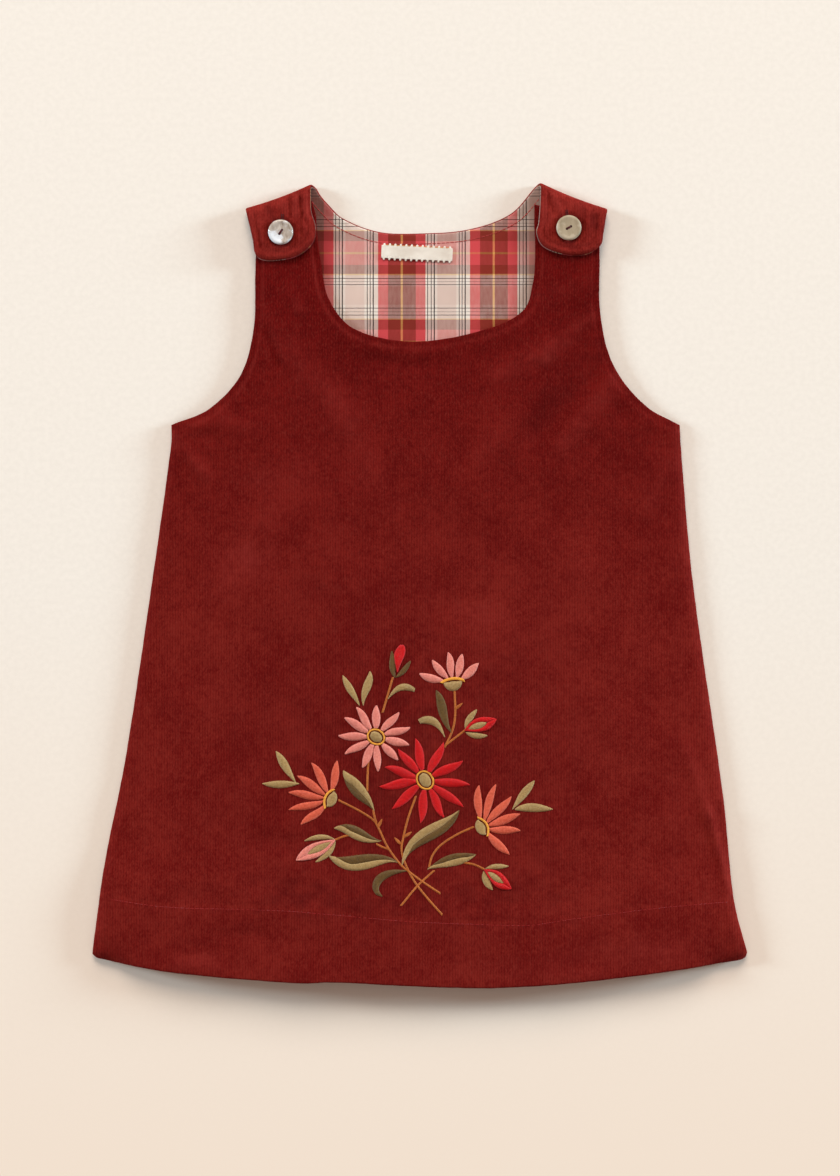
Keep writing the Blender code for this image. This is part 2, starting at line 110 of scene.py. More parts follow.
def left_of(line, closed=False):
    """The unit direction to the left of the line at each point."""
    ahead = np.roll(line, -1, 0) - np.roll(line, 1, 0)
    if not closed:
        ahead[0] = line[1] - line[0]
        ahead[-1] = line[-1] - line[-2]
    across = np.stack([-ahead[:, 1], ahead[:, 0]], 1)
    return across / np.linalg.norm(across, axis=1)[:, None]


def inset(line, distance, closed=False):
    """The line moved to its left, which is into the cloth."""
    return line + left_of(line, closed) * distance


def across_at(line, y):
    """The line's x at each y, for a line that runs up the dress."""
    order = np.argsort(line[:, 1])
    return np.interp(y, line[order, 1], line[order, 0])


def height_at(line, x):
    """The line's y at each x, for a line that runs across the dress."""
    order = np.argsort(line[:, 0])
    return np.interp(x, line[order, 0], line[order, 1])


def inside(points, line):
    """Which points lie inside a closed line."""
    within = np.zeros(len(points), bool)
    x, y = points.T
    for start, end in zip(line, np.roll(line, -1, 0)):
        crosses = (start[1] > y) != (end[1] > y)
        rise = end[1] - start[1]
        reach = start[0] + (y - start[1]) * (end[0] - start[0]) / (rise if rise else 1)
        within ^= crosses & (x < reach)
    return within


def gap_to(points, line, closed=False):
    """How far each point is from a line, by its nearest of many close samples."""
    ends = np.vstack([line, line[:1]]) if closed else line
    steps = np.linalg.norm(np.diff(ends, axis=0), axis=1)
    along = np.concatenate([[0], np.cumsum(steps)])
    marks = np.arange(0, along[-1], 0.4)
    fine = np.stack([np.interp(marks, along, ends[:, axis]) for axis in (0, 1)], 1)
    tree = KDTree(len(fine))
    for index, (x, y) in enumerate(fine):
        tree.insert((x, y, 0), index)
    tree.balance()
    return np.array([tree.find((x, y, 0))[2] for x, y in points])


def smooth(value, low, high):
    """0 below the low value, 1 above the high one, and an easy slope between."""
    t = np.clip((value - low) / (high - low), 0, 1)
    return t * t * (3 - 2 * t)


def bell(away, width):
    """1 on a line, and fading to nothing over about twice the width."""
    return np.exp(-(away / width) ** 2)


def area_of(outline):
    """Area inside a closed line, in square metres."""
    x, y = outline.T
    return abs(np.dot(x, np.roll(y, -1)) - np.dot(y, np.roll(x, -1))) / 2 * MM * MM


# %% Knots of the cutting lines, anticlockwise
HEM = [(-193.3, -218.4), (-190.5, -220.6), (-146.1, -228.3), (-70.6, -234.2),
       (-51.7, -233.6), (0.0, -236.0), (47.4, -236.9), (108.7, -232.4),
       (187.6, -222.1), (192.3, -220.4), (193.3, -217.4)]
RIGHT_SIDE = [(193.3, -217.4), (185.4, -186.4), (179.5, -127.4), (161.2, 2.4),
              (154.0, 84.0), (153.6, 93.9)]
RIGHT_ARMHOLE = [(153.6, 93.9), (133.5, 105.1), (114.6, 128.7), (106.8, 158.0),
                 (106.2, 190.0), (106.4, 216.0)]
FRONT_NECK = [(67.8, 224.0), (67.6, 212.5), (68.2, 198.0), (66.8, 178.0), (60.7, 161.1),
              (35.6, 149.3), (-5.1, 143.1), (-39.0, 150.8), (-53.5, 168.2),
              (-58.2, 190.0), (-60.6, 208.0), (-61.2, 217.0), (-63.6, 226.2)]
LEFT_ARMHOLE = [(-95.4, 216.6), (-97.0, 185.0), (-97.8, 152.3), (-105.4, 124.0),
                (-124.0, 103.6), (-146.7, 93.9)]
LEFT_SIDE = [(-146.7, 93.9), (-146.6, 84.0), (-157.9, 2.4), (-173.9, -103.8),
             (-185.6, -162.8), (-193.3, -218.4)]
BACK_NECK = [(68.1, 234.5), (53.5, 218.7), (29.1, 209.7), (0.0, 207.3),
             (-24.6, 208.3), (-45.4, 216.2), (-54.6, 225.0), (-58.8, 230.0),
             (-60.8, 233.6)]
BACK_RIGHT_ARMHOLE = [(152.4, 93.2), (120.0, 107.0), (99.0, 133.0), (89.0, 162.0),
                      (92.0, 192.0), (109.0, 218.4)]
BACK_LEFT_ARMHOLE = [(-101.3, 218.7), (-87.0, 200.0), (-82.0, 176.0), (-86.5, 149.9),
                     (-116.0, 106.0), (-145.2, 93.2)]
TABS = {
    "left": [(-64.5, 232.3), (-64.2, 219.9), (-61.5, 210.0), (-63.2, 201.3),
             (-72.5, 193.6), (-85.7, 190.9), (-93.6, 191.6), (-97.0, 194.8),
             (-98.3, 202.7), (-102.0, 218.5)],
    "right": [(71.6, 233.2), (71.3, 224.0), (70.3, 212.5), (69.1, 206.9), (73.2, 199.0),
              (87.1, 194.2), (98.5, 194.7), (106.6, 199.6), (108.3, 207.0),
              (110.2, 218.1)],
}
HEM_TOP = [(-196.0, -183.6), (-149.6, -189.8), (-105.5, -191.0), (-76.1, -192.0),
           (-52.6, -193.9), (-5.7, -197.9), (29.6, -199.4), (64.8, -200.1), (85.3, -197.2),
           (114.6, -193.5), (144.0, -190.1), (196.0, -186.3)]
EDGE_STEP = 2.0
hem_line = curve(HEM, EDGE_STEP)
hem_top = curve(HEM_TOP, EDGE_STEP)
right_side = curve(RIGHT_SIDE, EDGE_STEP)
left_side = curve(LEFT_SIDE, EDGE_STEP)
right_armhole = curve(RIGHT_ARMHOLE, EDGE_STEP)
left_armhole = curve(LEFT_ARMHOLE, EDGE_STEP)
front_neck = curve(FRONT_NECK, EDGE_STEP)
front_right = np.vstack([right_side, right_armhole])
front_left = np.vstack([left_armhole, left_side])
front_cut = np.vstack([hem_line[:-1], right_side[:-1], right_armhole, front_neck,
                       left_armhole[:-1], left_side[:-1]])


WOBBLE = 0.04
WOBBLES = [
    # wavelength, start, share
    (31.0, 0.4, 1.0),
    (13.0, 2.1, 0.8),
    (7.7, 5.0, 0.6),
]


def sewn_edge(line):
    """A closed line with the slight wobble of an edge turned and pressed by hand."""
    along = np.cumsum(np.linalg.norm(line - np.roll(line, 1, 0), axis=1))
    wobble = 0
    for length, start, share in WOBBLES:
        turns = max(1, round(along[-1] / length))
        wobble = wobble + share * np.sin(math.tau * turns * along / along[-1] + start)
    return line + left_of(line, closed=True) * (WOBBLE * wobble)[:, None]


front_cut = sewn_edge(front_cut)
print("front cut", len(front_cut), "points,", round(area_of(front_cut), 4), "square metres")

# %% [markdown]
# ## How high the front lies
# A lined dress laid flat is not flat: the front stands off the back most at the open hem
# and settles towards the neck. Cloth simulation would find some lie of its own, but this
# lie is known, so it is written as a height for every point: a broad swell, the thick
# turned-up hem, and each crease as a soft ridge or trough along a line of its own length,
# width and depth. Faint waves keep the open stretches from looking pressed.

# %% Swell, creases and waves of the front
SWELLS = [(-240, 9.4), (-190, 8.6), (-100, 6.8), (0, 5.2), (60, 4.0), (110, 2.6),
          (150, 1.3), (185, 0.0), (240, 0.0)]
SWELL_SHOULDER = 2.5
SWELL_FULLNESS = 0.9
SEAM_RISE = 6.0
HEM_RAMP = 42.0
CHEST_BAND = (140, 160, 174, 187)  # y where the chest begins, is full, ends and is gone
CHEST_FREE = 0.6  # share of their height that creases keep there, though it lies close
FRONT_CREASES = [
    # x0    y0    x1    y1  width height: the large ones, which the solid has too
    (101, 157, 74, 135, 6, 1.2),
    (74, 136, 46, 123, 6, 0.8),
    (108, 139, 70, 94, 9, -1.8),
    (64, 86, 50, 68, 9, -0.8),
    (118, 124, 84, 82, 8, 0.9),
    (60, 99, 36, 74, 8, 0.6),
    (-80, 138, -44, 100, 9, 0.8),
    (-44, 96, -28, 64, 9, 0.6),
    (-145, 86, -126, 64, 3.6, 1.1),
    (157, -98, 170, -134, 4.0, 0.9),
    (170, -134, 184, -182, 2.8, 1.5),
    (176, -130, 187, -174, 2.4, -0.9),
    (-114, -2, -98, 6, 14, 0.7),
    (28, -26, 46, -23, 14, 0.7),
    (-98, -175, -66, -183, 7, -0.9),
    (-146, -184, -124, -183, 7, -0.8),
    (64, -184, 84, -185, 7, -0.8),
    # finer: from the neck, the straps and the armholes
    (-30, 131, 0, 130, 5, -0.6),
    (-78, 172, -70, 160, 4, 0.6),
    (-98, 172, -88, 150, 4, 0.5),
    (-92, 148, -83, 129, 2.4, -0.8),
    (-88, 150, -79, 131, 3, 0.4),
    (100, 178, 70, 168, 5, 0.6),
    (-118, 97, -100, 92, 5, 0.5),
    (-140, 91, -120, 86, 3, -0.7),
    (148, 72, 134, 44, 6, 0.5),
    (120, 104, 104, 84, 6, -0.5),
    # across the open skirt
    (-70, 66, -92, 30, 14, 0.5),
    (10, 40, 30, 22, 13, -0.4),
    (72, 22, 96, 4, 12, 0.45),
    (-30, 6, -56, -14, 13, 0.4),
    (96, -62, 124, -84, 14, 0.5),
    (-146, -70, -126, -104, 12, 0.45),
    # drawn in by the embroidery and by the hem's stitching
    (-92, -138, -62, -146, 4, 0.5),
    (-98, -150, -76, -152, 4, -0.4),
    (-86, -160, -58, -168, 3.5, 0.4),
    (-60, -100, -48, -84, 4, -0.3),
    (58, -98, 66, -74, 5, 0.5),
    (48, -96, 40, -100, 4, -0.3),
    (84, -140, 72, -158, 5, 0.35),
    (60, -190, 48, -184, 3.5, -0.35),
    (20, -196, 40, -192, 4, 0.3),
    (-66, -191, -56, -192, 4, 0.5),
    (-44, -196, -30, -197, 4, -0.4),
    (-114, -205, -92, -206, 5, -0.6),
    (-142, -224, -118, -226, 5, 0.6),
    (-197, -222, -184, -225, 11, -2.4),
    (196, -219, 176, -225, 11, -2.2),
    (76, -232, 104, -229, 5, 0.5),
]
WAVES = [
    # wavelength, direction in degrees, start, height
    (71, 14, 0.3, 0.16),
    (53, 98, 1.9, 0.13),
    (37, 61, 4.1, 0.10),
    (29, 152, 2.7, 0.07),
    (118, 118, 5.2, 0.20),
]


def creases(x, y, table):
    """Ridges and hollows, each along a line of its own, with its width and height."""
    total = np.zeros_like(x)
    for x0, y0, x1, y1, width, height in table:
        along = np.array([x1 - x0, y1 - y0], float)
        t = np.clip(((x - x0) * along[0] + (y - y0) * along[1]) / (along @ along), 0, 1)
        total += height * bell(np.hypot(x - x0 - along[0] * t, y - y0 - along[1] * t), width)
    return total


def waves(x, y):
    """Faint long waves, so that open stretches don't look pressed."""
    total = np.zeros_like(x)
    for length, direction, start, height in WAVES:
        turn = math.radians(direction)
        total += height * np.sin(math.tau * (x * math.cos(turn) + y * math.sin(turn)) / length
                                 + start)
    return total


def below_hem_stitch(x, y):
    """How far a point lies below the line of hem stitching."""
    return height_at(hem_top, x) - y


def in_hem(x, y):
    """1 in the turned-up hem, 0 above it."""
    return smooth(below_hem_stitch(x, y), -0.5, 0.5)


def front_lie(x, y):
    """Height of the front's outer face, without what is fine enough to be sewing."""
    left = across_at(front_left, y)
    right = across_at(front_right, y)
    share = np.clip((x - left) / (right - left), 0, 1)
    arch = np.maximum(1 - np.abs(2 * share - 1) ** SWELL_SHOULDER, 0) ** SWELL_FULLNESS
    loose = np.interp(y, *np.array(SWELLS, float).T) * arch
    from_seam = np.minimum(x - across_at(left_side, y), across_at(right_side, y) - x)
    onto_hem = smooth(below_hem_stitch(x, y), -HEM_RAMP, 0)
    base = (SEAM_LEVEL + (FRONT_LEVEL - SEAM_LEVEL) * smooth(from_seam, 0, SEAM_RISE)
            + 2 * HEM_EXTRA * onto_hem)
    begins, full, ends, gone = CHEST_BAND
    chest = (1 - smooth(y, ends, gone)) * smooth(y, begins, full)
    free = np.minimum(1, loose + CHEST_FREE * chest)
    folds = (creases(x, y, FRONT_CREASES) + waves(x, y)) * free
    return base + np.maximum(loose + folds, 0) + CORD


# %% Sewing of the hem, as heights
STITCH_GROOVE = 0.24
GROOVE_UNEVEN = 0.45
GROOVE_ABOVE = 1.2
GROOVE_WIDTH = 1.1
PUCKER = 0.07
PUCKER_PITCH = 9.3
PUCKER_BELOW = 2.5
PUCKER_WIDTH = 4
HEM_STEP = 0.3
HEM_STEP_FADE = (4, 30)
CORNER_DROOP = 1.6
CORNER_FROM = (160, 190)
CORNER_DEPTH = 4


def front_height(x, y):
    """The lie, with the hem's stitched groove, its puckers and its drooping corners."""
    below = below_hem_stitch(x, y)
    turn = math.tau * x / PUCKER_PITCH
    uneven = 1 + GROOVE_UNEVEN * np.sin(turn + 1.7 * np.sin(x / 23))
    groove = STITCH_GROOVE * uneven * bell(below + GROOVE_ABOVE, GROOVE_WIDTH)
    roll = PUCKER * np.sin(turn) * bell(below - PUCKER_BELOW, PUCKER_WIDTH)
    step = HEM_STEP * (smooth(below, -0.6, 0.9) - smooth(below, *HEM_STEP_FADE))
    at_edge = 1 - smooth(y - height_at(hem_line, x), 0, CORNER_DEPTH)
    droop = CORNER_DROOP * smooth(np.abs(x), *CORNER_FROM) * at_edge
    return front_lie(x, y) - groove + roll + step - droop


hem_x = np.linspace(-150, 150, 7)
print("front's height above the hem stitching:",
      front_height(hem_x, height_at(hem_line, hem_x) + 50).round(1))

# %% [markdown]
# ## From a flat cut to a shell of cloth
# A Solidify modifier would give a wall with square edges, while a cut edge of cloth is
# turned in and rounds over. So each piece is made as two faces that share one outline.
# A few rings just inside it carry the rounding, and a triangulation of the flat cut fills
# the rest. Only then are the flat points lifted to where the cloth lies.

# %% Shells of cloth
RIM = 1.4
RIM_SHARES = (0.2, 0.55, 1.0)
CLEAR = 0.3


def skin(outline, spots, rim=RIM):
    """One face of a flat cut: its points, how deep in from the edge, and its triangles."""
    count = len(outline)
    rings = [inset(outline, rim * share, closed=True) for share in (0, *RIM_SHARES)]
    spots = spots[inside(spots, rings[-1])]
    spots = spots[gap_to(spots, rings[-1], closed=True) > CLEAR]
    corners = [Vector(point) for point in np.vstack([rings[-1], spots])]
    edges = [(place, (place + 1) % count) for place in range(count)]
    flat, _, faces, origins, *_ = delaunay_2d_cdt(corners, edges, [list(range(count))], 1, 1e-4)
    first = count * len(RIM_SHARES)
    number = np.empty(len(flat), int)
    added = []
    for place, origin in enumerate(origins):
        corner = min(origin, default=count)
        if corner < count:
            number[place] = first + corner
        else:
            number[place] = first + count + len(added)
            added.append(tuple(flat[place]))
    points = np.vstack(rings + [np.array(added).reshape(-1, 2)])
    depth = np.concatenate([np.repeat([rim * share for share in (0, *RIM_SHARES)], count),
                            np.full(len(added), rim)])
    here = np.arange(count)
    onward = (here + 1) % count
    triangles = [number[np.array(faces)]]
    for ring in range(len(RIM_SHARES)):
        low, high = ring * count, (ring + 1) * count
        triangles.append(np.stack([low + here, low + onward, high + onward], 1))
        triangles.append(np.stack([low + here, high + onward, high + here], 1))
    return points, depth / rim, np.vstack(triangles)


def rounding(depth):
    """Share of the cloth's thickness that is there, from its edge inwards."""
    return np.sqrt(1 - (1 - depth) ** 2)


def lattice(outline, step):
    """A triangular lattice over a cut."""
    low, high = outline.min(0), outline.max(0)
    lines = []
    for place, y in enumerate(np.arange(low[1], high[1], step * math.sqrt(3) / 2)):
        xs = np.arange(low[0] + step / 2 * (place % 2), high[0], step)
        lines.append(np.column_stack([xs, np.full(len(xs), y)]))
    return np.vstack(lines)


def add_object(name, data):
    thing = bpy.data.objects.new(name, data)
    bpy.context.collection.objects.link(thing)
    return thing


def make_piece(name, points, faces, material, node=None):
    """A mesh piece from points in millimetres, riding on the dress."""
    mesh = bpy.data.meshes.new(name)
    mesh.from_pydata((np.asarray(points) * MM).tolist(), [], [list(face) for face in faces])
    mesh.shade_smooth()
    mesh.materials.append(material)
    piece = add_object(name, mesh)
    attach(piece, "root")
    if node:
        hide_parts(node)
    print(f"{name}: {sum(len(face.vertices) - 2 for face in mesh.polygons)} triangles")
    return piece


def cloth_shell(name, top, placed_top, bottom, placed_bottom, material, node):
    """Joins two faces of a piece along the outline that they share."""
    count = len(placed_top)
    shared = next(index for index, depth in enumerate(top[1]) if depth > 0)
    number = np.arange(len(placed_bottom)) + count - shared
    number[:shared] = np.arange(shared)
    points = np.vstack([placed_top, placed_bottom[shared:]])
    faces = np.vstack([top[2], number[bottom[2]][:, ::-1]])
    return make_piece(name, points, faces, material, node)


# %% [markdown]
# ## Needlecord
# Corduroy is a ground cloth with cut pile standing in rows. The pile catches light at a
# grazing angle, which is what sheen is for, and the valleys between the wales are painted
# darker, as painted shade. Its nap never lies quite even, so broad and small patches are a
# little lighter or darker, and it is a little paler towards the hem. All of it is placed by
# the object's own X and Y, so the wales run straight up through panels and tabs alike, in
# step with the ones raised in the mesh. Where the pile is worn on an edge or a crest, and
# where shade and highlight are painted on it, depends on the shape, so each mesh keeps that
# as a number at its points, and the finish reads it.

# %% A short way to write materials


class Paint:
    """A Principled material, its nodes made by short calls."""

    def __init__(self, name, roughness, **constants):
        self.material = bpy.data.materials.new(name)
        self.material.use_nodes = True
        self.tree = self.material.node_tree
        self.shader = self.tree.nodes["Principled BSDF"]
        self.shader.inputs["Roughness"].default_value = roughness
        for socket, value in constants.items():
            self.shader.inputs[socket.replace("_", " ")].default_value = value
        self.place = self.tree.nodes.new("ShaderNodeTexCoord").outputs["Object"]
        split = self.tree.nodes.new("ShaderNodeSeparateXYZ")
        self.tree.links.new(self.place, split.inputs[0])
        self.x, self.y, _ = split.outputs

    def feed(self, socket, value):
        """Links a value from another node, or sets a plain one."""
        if isinstance(value, bpy.types.NodeSocket):
            self.tree.links.new(value, socket)
        else:
            socket.default_value = value

    def reckon(self, operation, *values):
        node = self.tree.nodes.new("ShaderNodeMath")
        node.operation = operation
        for socket, value in zip(node.inputs, values):
            self.feed(socket, value)
        return node.outputs[0]

    def plus(self, first, second):
        return self.reckon("ADD", first, second)

    def minus(self, first, second):
        return self.reckon("SUBTRACT", first, second)

    def times(self, first, second):
        return self.reckon("MULTIPLY", first, second)

    def ripple(self, value, pitch_mm):
        """A sine with a crest at each pitch."""
        return self.reckon("SINE", self.times(value, math.tau / (pitch_mm * MM)))

    def swing(self, cloud, much):
        """Cloudy values made to swing about nought."""
        return self.times(self.minus(cloud, 0.5), much)

    def stretch(self, low, high, new_low, new_high, value):
        """A value between two limits, moved to between two others and kept there."""
        node = self.tree.nodes.new("ShaderNodeMapRange")
        for socket, number in zip(node.inputs, (value, low, high, new_low, new_high)):
            self.feed(socket, number)
        return node.outputs[0]

    def noise(self, size_mm, detail=2.0, stretch=(1, 1, 1), roughness=0.5):
        """Cloudy values with features of about a size, longer where stretched."""
        turn = self.tree.nodes.new("ShaderNodeMapping")
        turn.inputs["Scale"].default_value = [1 / (size_mm * MM * long) for long in stretch]
        self.feed(turn.inputs["Vector"], self.place)
        node = self.tree.nodes.new("ShaderNodeTexNoise")
        node.inputs["Scale"].default_value = 1.0
        node.inputs["Detail"].default_value = detail
        node.inputs["Roughness"].default_value = roughness
        self.feed(node.inputs["Vector"], turn.outputs[0])
        return node.outputs["Fac"]

    def mix(self, share, first, second, kind="MIX"):
        node = self.tree.nodes.new("ShaderNodeMix")
        node.data_type = "RGBA"
        node.blend_type = kind
        self.feed(node.inputs[0], share)
        self.feed(node.inputs[6], first)
        self.feed(node.inputs[7], second)
        return node.outputs[2]

    def bands(self, share, stops):
        """A colour ramp: the colour from each stop up to the next."""
        ramp = self.tree.nodes.new("ShaderNodeValToRGB")
        ramp.color_ramp.interpolation = "CONSTANT"
        elements = ramp.color_ramp.elements
        while len(elements) < len(stops):
            elements.new(1.0)
        for element, (position, colour) in zip(elements, stops):
            element.position = position
            element.color = colour
        self.feed(ramp.inputs[0], share)
        return ramp.outputs[0]

    def stored(self, name):
        """A number that the mesh keeps at each of its points."""
        node = self.tree.nodes.new("ShaderNodeAttribute")
        node.attribute_name = name
        return node.outputs["Fac"]

    def repeat(self, value, pitch_mm, shift_mm=0.0):
        """0 to 1 over each repeat of a pitch."""
        along = self.minus(value, shift_mm * MM)
        return self.reckon("FRACT", self.reckon("DIVIDE", along, pitch_mm * MM))

    def bump(self, height, depth_mm, strength):
        node = self.tree.nodes.new("ShaderNodeBump")
        node.inputs["Strength"].default_value = strength
        node.inputs["Distance"].default_value = depth_mm * MM
        self.feed(node.inputs["Height"], height)
        self.feed(self.shader.inputs["Normal"], node.outputs[0])

    def colour(self, value):
        self.feed(self.shader.inputs["Base Color"], value)
        return self.material


def rgb(red, green, blue):
    """A colour as a screen shows it, 0 to 255, turned into light."""
    parts = np.array([red, green, blue]) / 255
    light = np.where(parts <= 0.04045, parts / 12.92, ((parts + 0.055) / 1.055) ** 2.4)
    return (*light.tolist(), 1.0)


# %% The needlecord's finish
SHEEN_RED = rgb(238, 70, 56)
FLECK = rgb(124, 42, 34)
PALE_PILE_AND_HIGHLIGHT = rgb(146, 48, 42)
DEEP_PILE_AND_SHADE = rgb(66, 4, 5)
VALLEY_PAINTED_SHADE = rgb(130, 90, 90)
PALER_BEGINS, PALER_FULL = 170 * MM, -30 * MM
WALE_WANDER = 0.3
NAP_CLOUDS = [
    # size, detail, drawn out along the wales, weight: from single fibres to broad patches
    (0.6, 2.0, 2.2, 1.9),
    (2.2, 2.0, 1.3, 1.4),
    (7, 3.0, 1, 1.0),
    (30, 2.0, 1, 1.6),
]


def needlecord(name, dark, light, hem_dark, hem_light, valley_shade):
    paint = Paint(name, 0.95, Sheen_Weight=0.22, Sheen_Roughness=0.4,
                  Sheen_Tint=SHEEN_RED, Specular_IOR_Level=0.08)
    wander = paint.swing(paint.noise(9, 1.0, (1, 5, 1)), WALE_WANDER * MM)
    wale = paint.repeat(paint.plus(paint.x, wander), WALE)
    ridge = paint.reckon("POWER", paint.reckon("SINE", paint.times(wale, math.pi)), 0.7)
    clouds = [paint.noise(size, detail, (1, drawn, 1)) for size, detail, drawn, _ in NAP_CLOUDS]
    nap = 0.5
    for cloud, (*_, weight) in zip(clouds, NAP_CLOUDS):
        nap = paint.plus(nap, paint.swing(cloud, weight))
    # A little paler towards the hem, and deeper towards the top.
    nearer_hem = paint.stretch(PALER_BEGINS, PALER_FULL, 0.0, 1.0, paint.y)
    pile = paint.mix(paint.stretch(0.0, 1.0, 0.0, 1.0, nap),
                     paint.mix(nearer_hem, dark, hem_dark), paint.mix(nearer_hem, light, hem_light))
    fleck = paint.stretch(0.5, 0.75, 0.0, 0.4, paint.noise(0.9, 2.0, (1, 2.0, 1)))
    pile = paint.mix(fleck, pile, FLECK)
    uneven = paint.stretch(0.3, 0.7, 0.3, 1.7, paint.noise(8, 3.0))
    wear_and_painted_light = paint.times(paint.stored("wear_and_painted_light"), uneven)
    # Above nought towards a pale pile, for wear and painted highlight; below nought towards a
    # deep pile, for painted shade.
    for full, tone in ((1.0, PALE_PILE_AND_HIGHLIGHT), (-1.0, DEEP_PILE_AND_SHADE)):
        pile = paint.mix(paint.stretch(0.0, full, 0.0, 1.0, wear_and_painted_light), pile, tone)
    # The valleys between the wales are painted darker: painted shade in the recesses.
    valley_shade_share = paint.stretch(0.0, 0.75, valley_shade, 0.0, ridge)
    paint.bump(paint.plus(ridge, clouds[0]), 0.12, 0.6)
    return paint.colour(paint.mix(valley_shade_share, pile, VALLEY_PAINTED_SHADE, "MULTIPLY"))


needlecord_finish = needlecord("needlecord", rgb(80, 1, 1), rgb(102, 8, 6),
                               rgb(96, 8, 6), rgb(120, 29, 22), 0.42)
needlecord_against_nap = needlecord("needlecord_against_the_nap", rgb(103, 16, 11),
                                    rgb(136, 38, 31), rgb(98, 9, 7), rgb(122, 30, 24), 0.3)

# %% [markdown]
# ## The front panel
# The wales are few enough here to be raised in the mesh: columns of points three to a
# wale, one in the valley and two on the cord. Rows can be far apart where the cloth is
# calm, and close where it creases, which keeps the piece well inside its budget. The
# wales fade out near the edges, where the turned-in seam presses the pile flat.

# %% Front panel
ROW_ZONES = [
    # from   to   apart
    (-240, -186, 2.2),
    (-186, -34, 4.2),
    (-34, 56, 6.5),
    (56, 92, 3.0),
    (92, 166, 1.9),
    (166, 226, 3.0),
]
COLUMNS_A_WALE = 3
FRONT_HALF = 194
OUTER_ROUND = 0.3  # share of the thickness that is rounded over on the outer face
EDGE_BAND = 2.9  # where the faced edges are topstitched, and the pressed band ends
EDGE_BAND_RISE = 0.5
TOPSTITCH_DEPTH = 0.12
TOPSTITCH_WIDTH = 0.7


def wale_columns(low, high):
    """Columns of points in step with the wales."""
    first, last = (round(x / WALE) * COLUMNS_A_WALE for x in (low, high))
    return np.arange(first, last) * WALE / COLUMNS_A_WALE


def wale_relief(x):
    return -WALE_RISE * np.cos(math.tau * x / WALE)


def grid(xs, ys):
    return np.stack([axis.ravel() for axis in np.meshgrid(xs, ys)], 1)


rows = np.concatenate([np.arange(low, high, apart) for low, high, apart in ROW_ZONES])
top_skin = skin(front_cut, grid(wale_columns(-FRONT_HALF, FRONT_HALF), rows))
under_skin = skin(front_cut, lattice(front_cut, 9.0))
edge_lines = np.vstack([right_armhole, front_neck, left_armhole])


def front_faces(points, depth, face):
    """Height of the front's outer or inner face, rounded over at its edge."""
    x, y = points.T
    height = front_height(x, y)
    thick = CORD + HEM_EXTRA * in_hem(x, y)
    edge = height - thick * OUTER_ROUND
    if face == "inner":
        return np.column_stack([points, edge - thick * (1 - OUTER_ROUND) * rounding(depth)])
    from_edge = gap_to(points, front_cut, closed=True)
    from_facing = gap_to(points, edge_lines)
    band = EDGE_BAND_RISE * (smooth(from_facing, EDGE_BAND, 5.6) - smooth(from_facing, 7, 15))
    topstitch = TOPSTITCH_DEPTH * bell(from_facing - EDGE_BAND, TOPSTITCH_WIDTH)
    wale = wale_relief(x) * smooth(from_edge, 2.0, 5.0)
    outer = edge + thick * OUTER_ROUND * rounding(depth) + band - topstitch + wale
    return np.column_stack([points, outer])


# %% Where the front's pile is worn, and where shade and highlight are painted on it
WEAR_AND_SHADE_LINES = [
    # line, how far in from it, width, how much: pale is above nought, deep below. Pale along
    # the sides, painted highlight along the neck's topstitched band, painted shade right at the
    # faced edges and beside the right armhole
    (right_side, 0.0, 2.4, 0.26),
    (left_side, 0.0, 1.6, 0.14),
    (edge_lines, 4.4, 1.1, 0.15),
    (edge_lines, 0.0, 1.6, -0.1),
    (right_armhole, 4.4, 1.5, -0.12),
]
# A painted highlight just above the hem stitching and a painted shadow just below it.
PAINTED_LIGHT_BY_STITCH = [
    # how far below the hem stitching, width, how much
    (-1.6, 0.9, 0.1),
    (0.9, 1.1, -0.2),
]
# Patches made paler or darker; the broad dark ones about the embroidery are painted shade.
WEAR_AND_SHADE_PATCHES = [
    # x     y    half sizes, how much
    (-103, 15, 15, 10, 0.2),
    (32, -17, 19, 8, 0.2),
    (-96, 62, 12, 7, 0.12),
    (-62, -187, 5, 5, 0.25),
    (-131, -219, 9, 4, 0.2),
    (-134, -211, 9, 3, -0.2),
    (130, -214, 42, 9, 0.13),
    (-60, -2, 20, 12, -0.12),
    (-5, -110, 88, 95, -0.29),
    (-5, -184, 80, 13, -0.14),
    (72, -164, 18, 12, -0.08),
    (-70, -184, 16, 8, -0.22),
    (2, -184, 10, 7, -0.1),
    (60, -46, 22, 14, -0.06),
    (20, -226, 110, 14, 0.1),
]
# Crests of the creases paler and their hollows darker: painted shade, with some wear on the
# crests.
CREASE_PAINTED_SHADE = 0.13
CREASE_PAINTED_SHADE_LIMIT = 0.25


def patches(x, y, table):
    """Soft oval patches, each with its middle, half sizes and amount."""
    total = np.zeros_like(x)
    for patch_x, patch_y, wide, high, much in table:
        total += much * bell(x - patch_x, wide) * bell(y - patch_y, high)
    return total


def front_wear_and_painted_light(points):
    """Pile is paler at the sides and on crests, partly wear and partly painted highlight;
    painted shade darkens the hollows, the faced edges and the line below the hem stitching.
    """
    x, y, _ = points.T
    amount = patches(x, y, WEAR_AND_SHADE_PATCHES)
    for line, inward, width, much in WEAR_AND_SHADE_LINES:
        amount += much * bell(gap_to(points[:, :2], line) - inward, width)
    for below, width, much in PAINTED_LIGHT_BY_STITCH:
        amount += much * bell(below_hem_stitch(x, y) - below, width)
    crease_shade_amount = CREASE_PAINTED_SHADE * creases(x, y, FRONT_CREASES)
    return amount + np.clip(crease_shade_amount, -CREASE_PAINTED_SHADE_LIMIT, CREASE_PAINTED_SHADE_LIMIT)


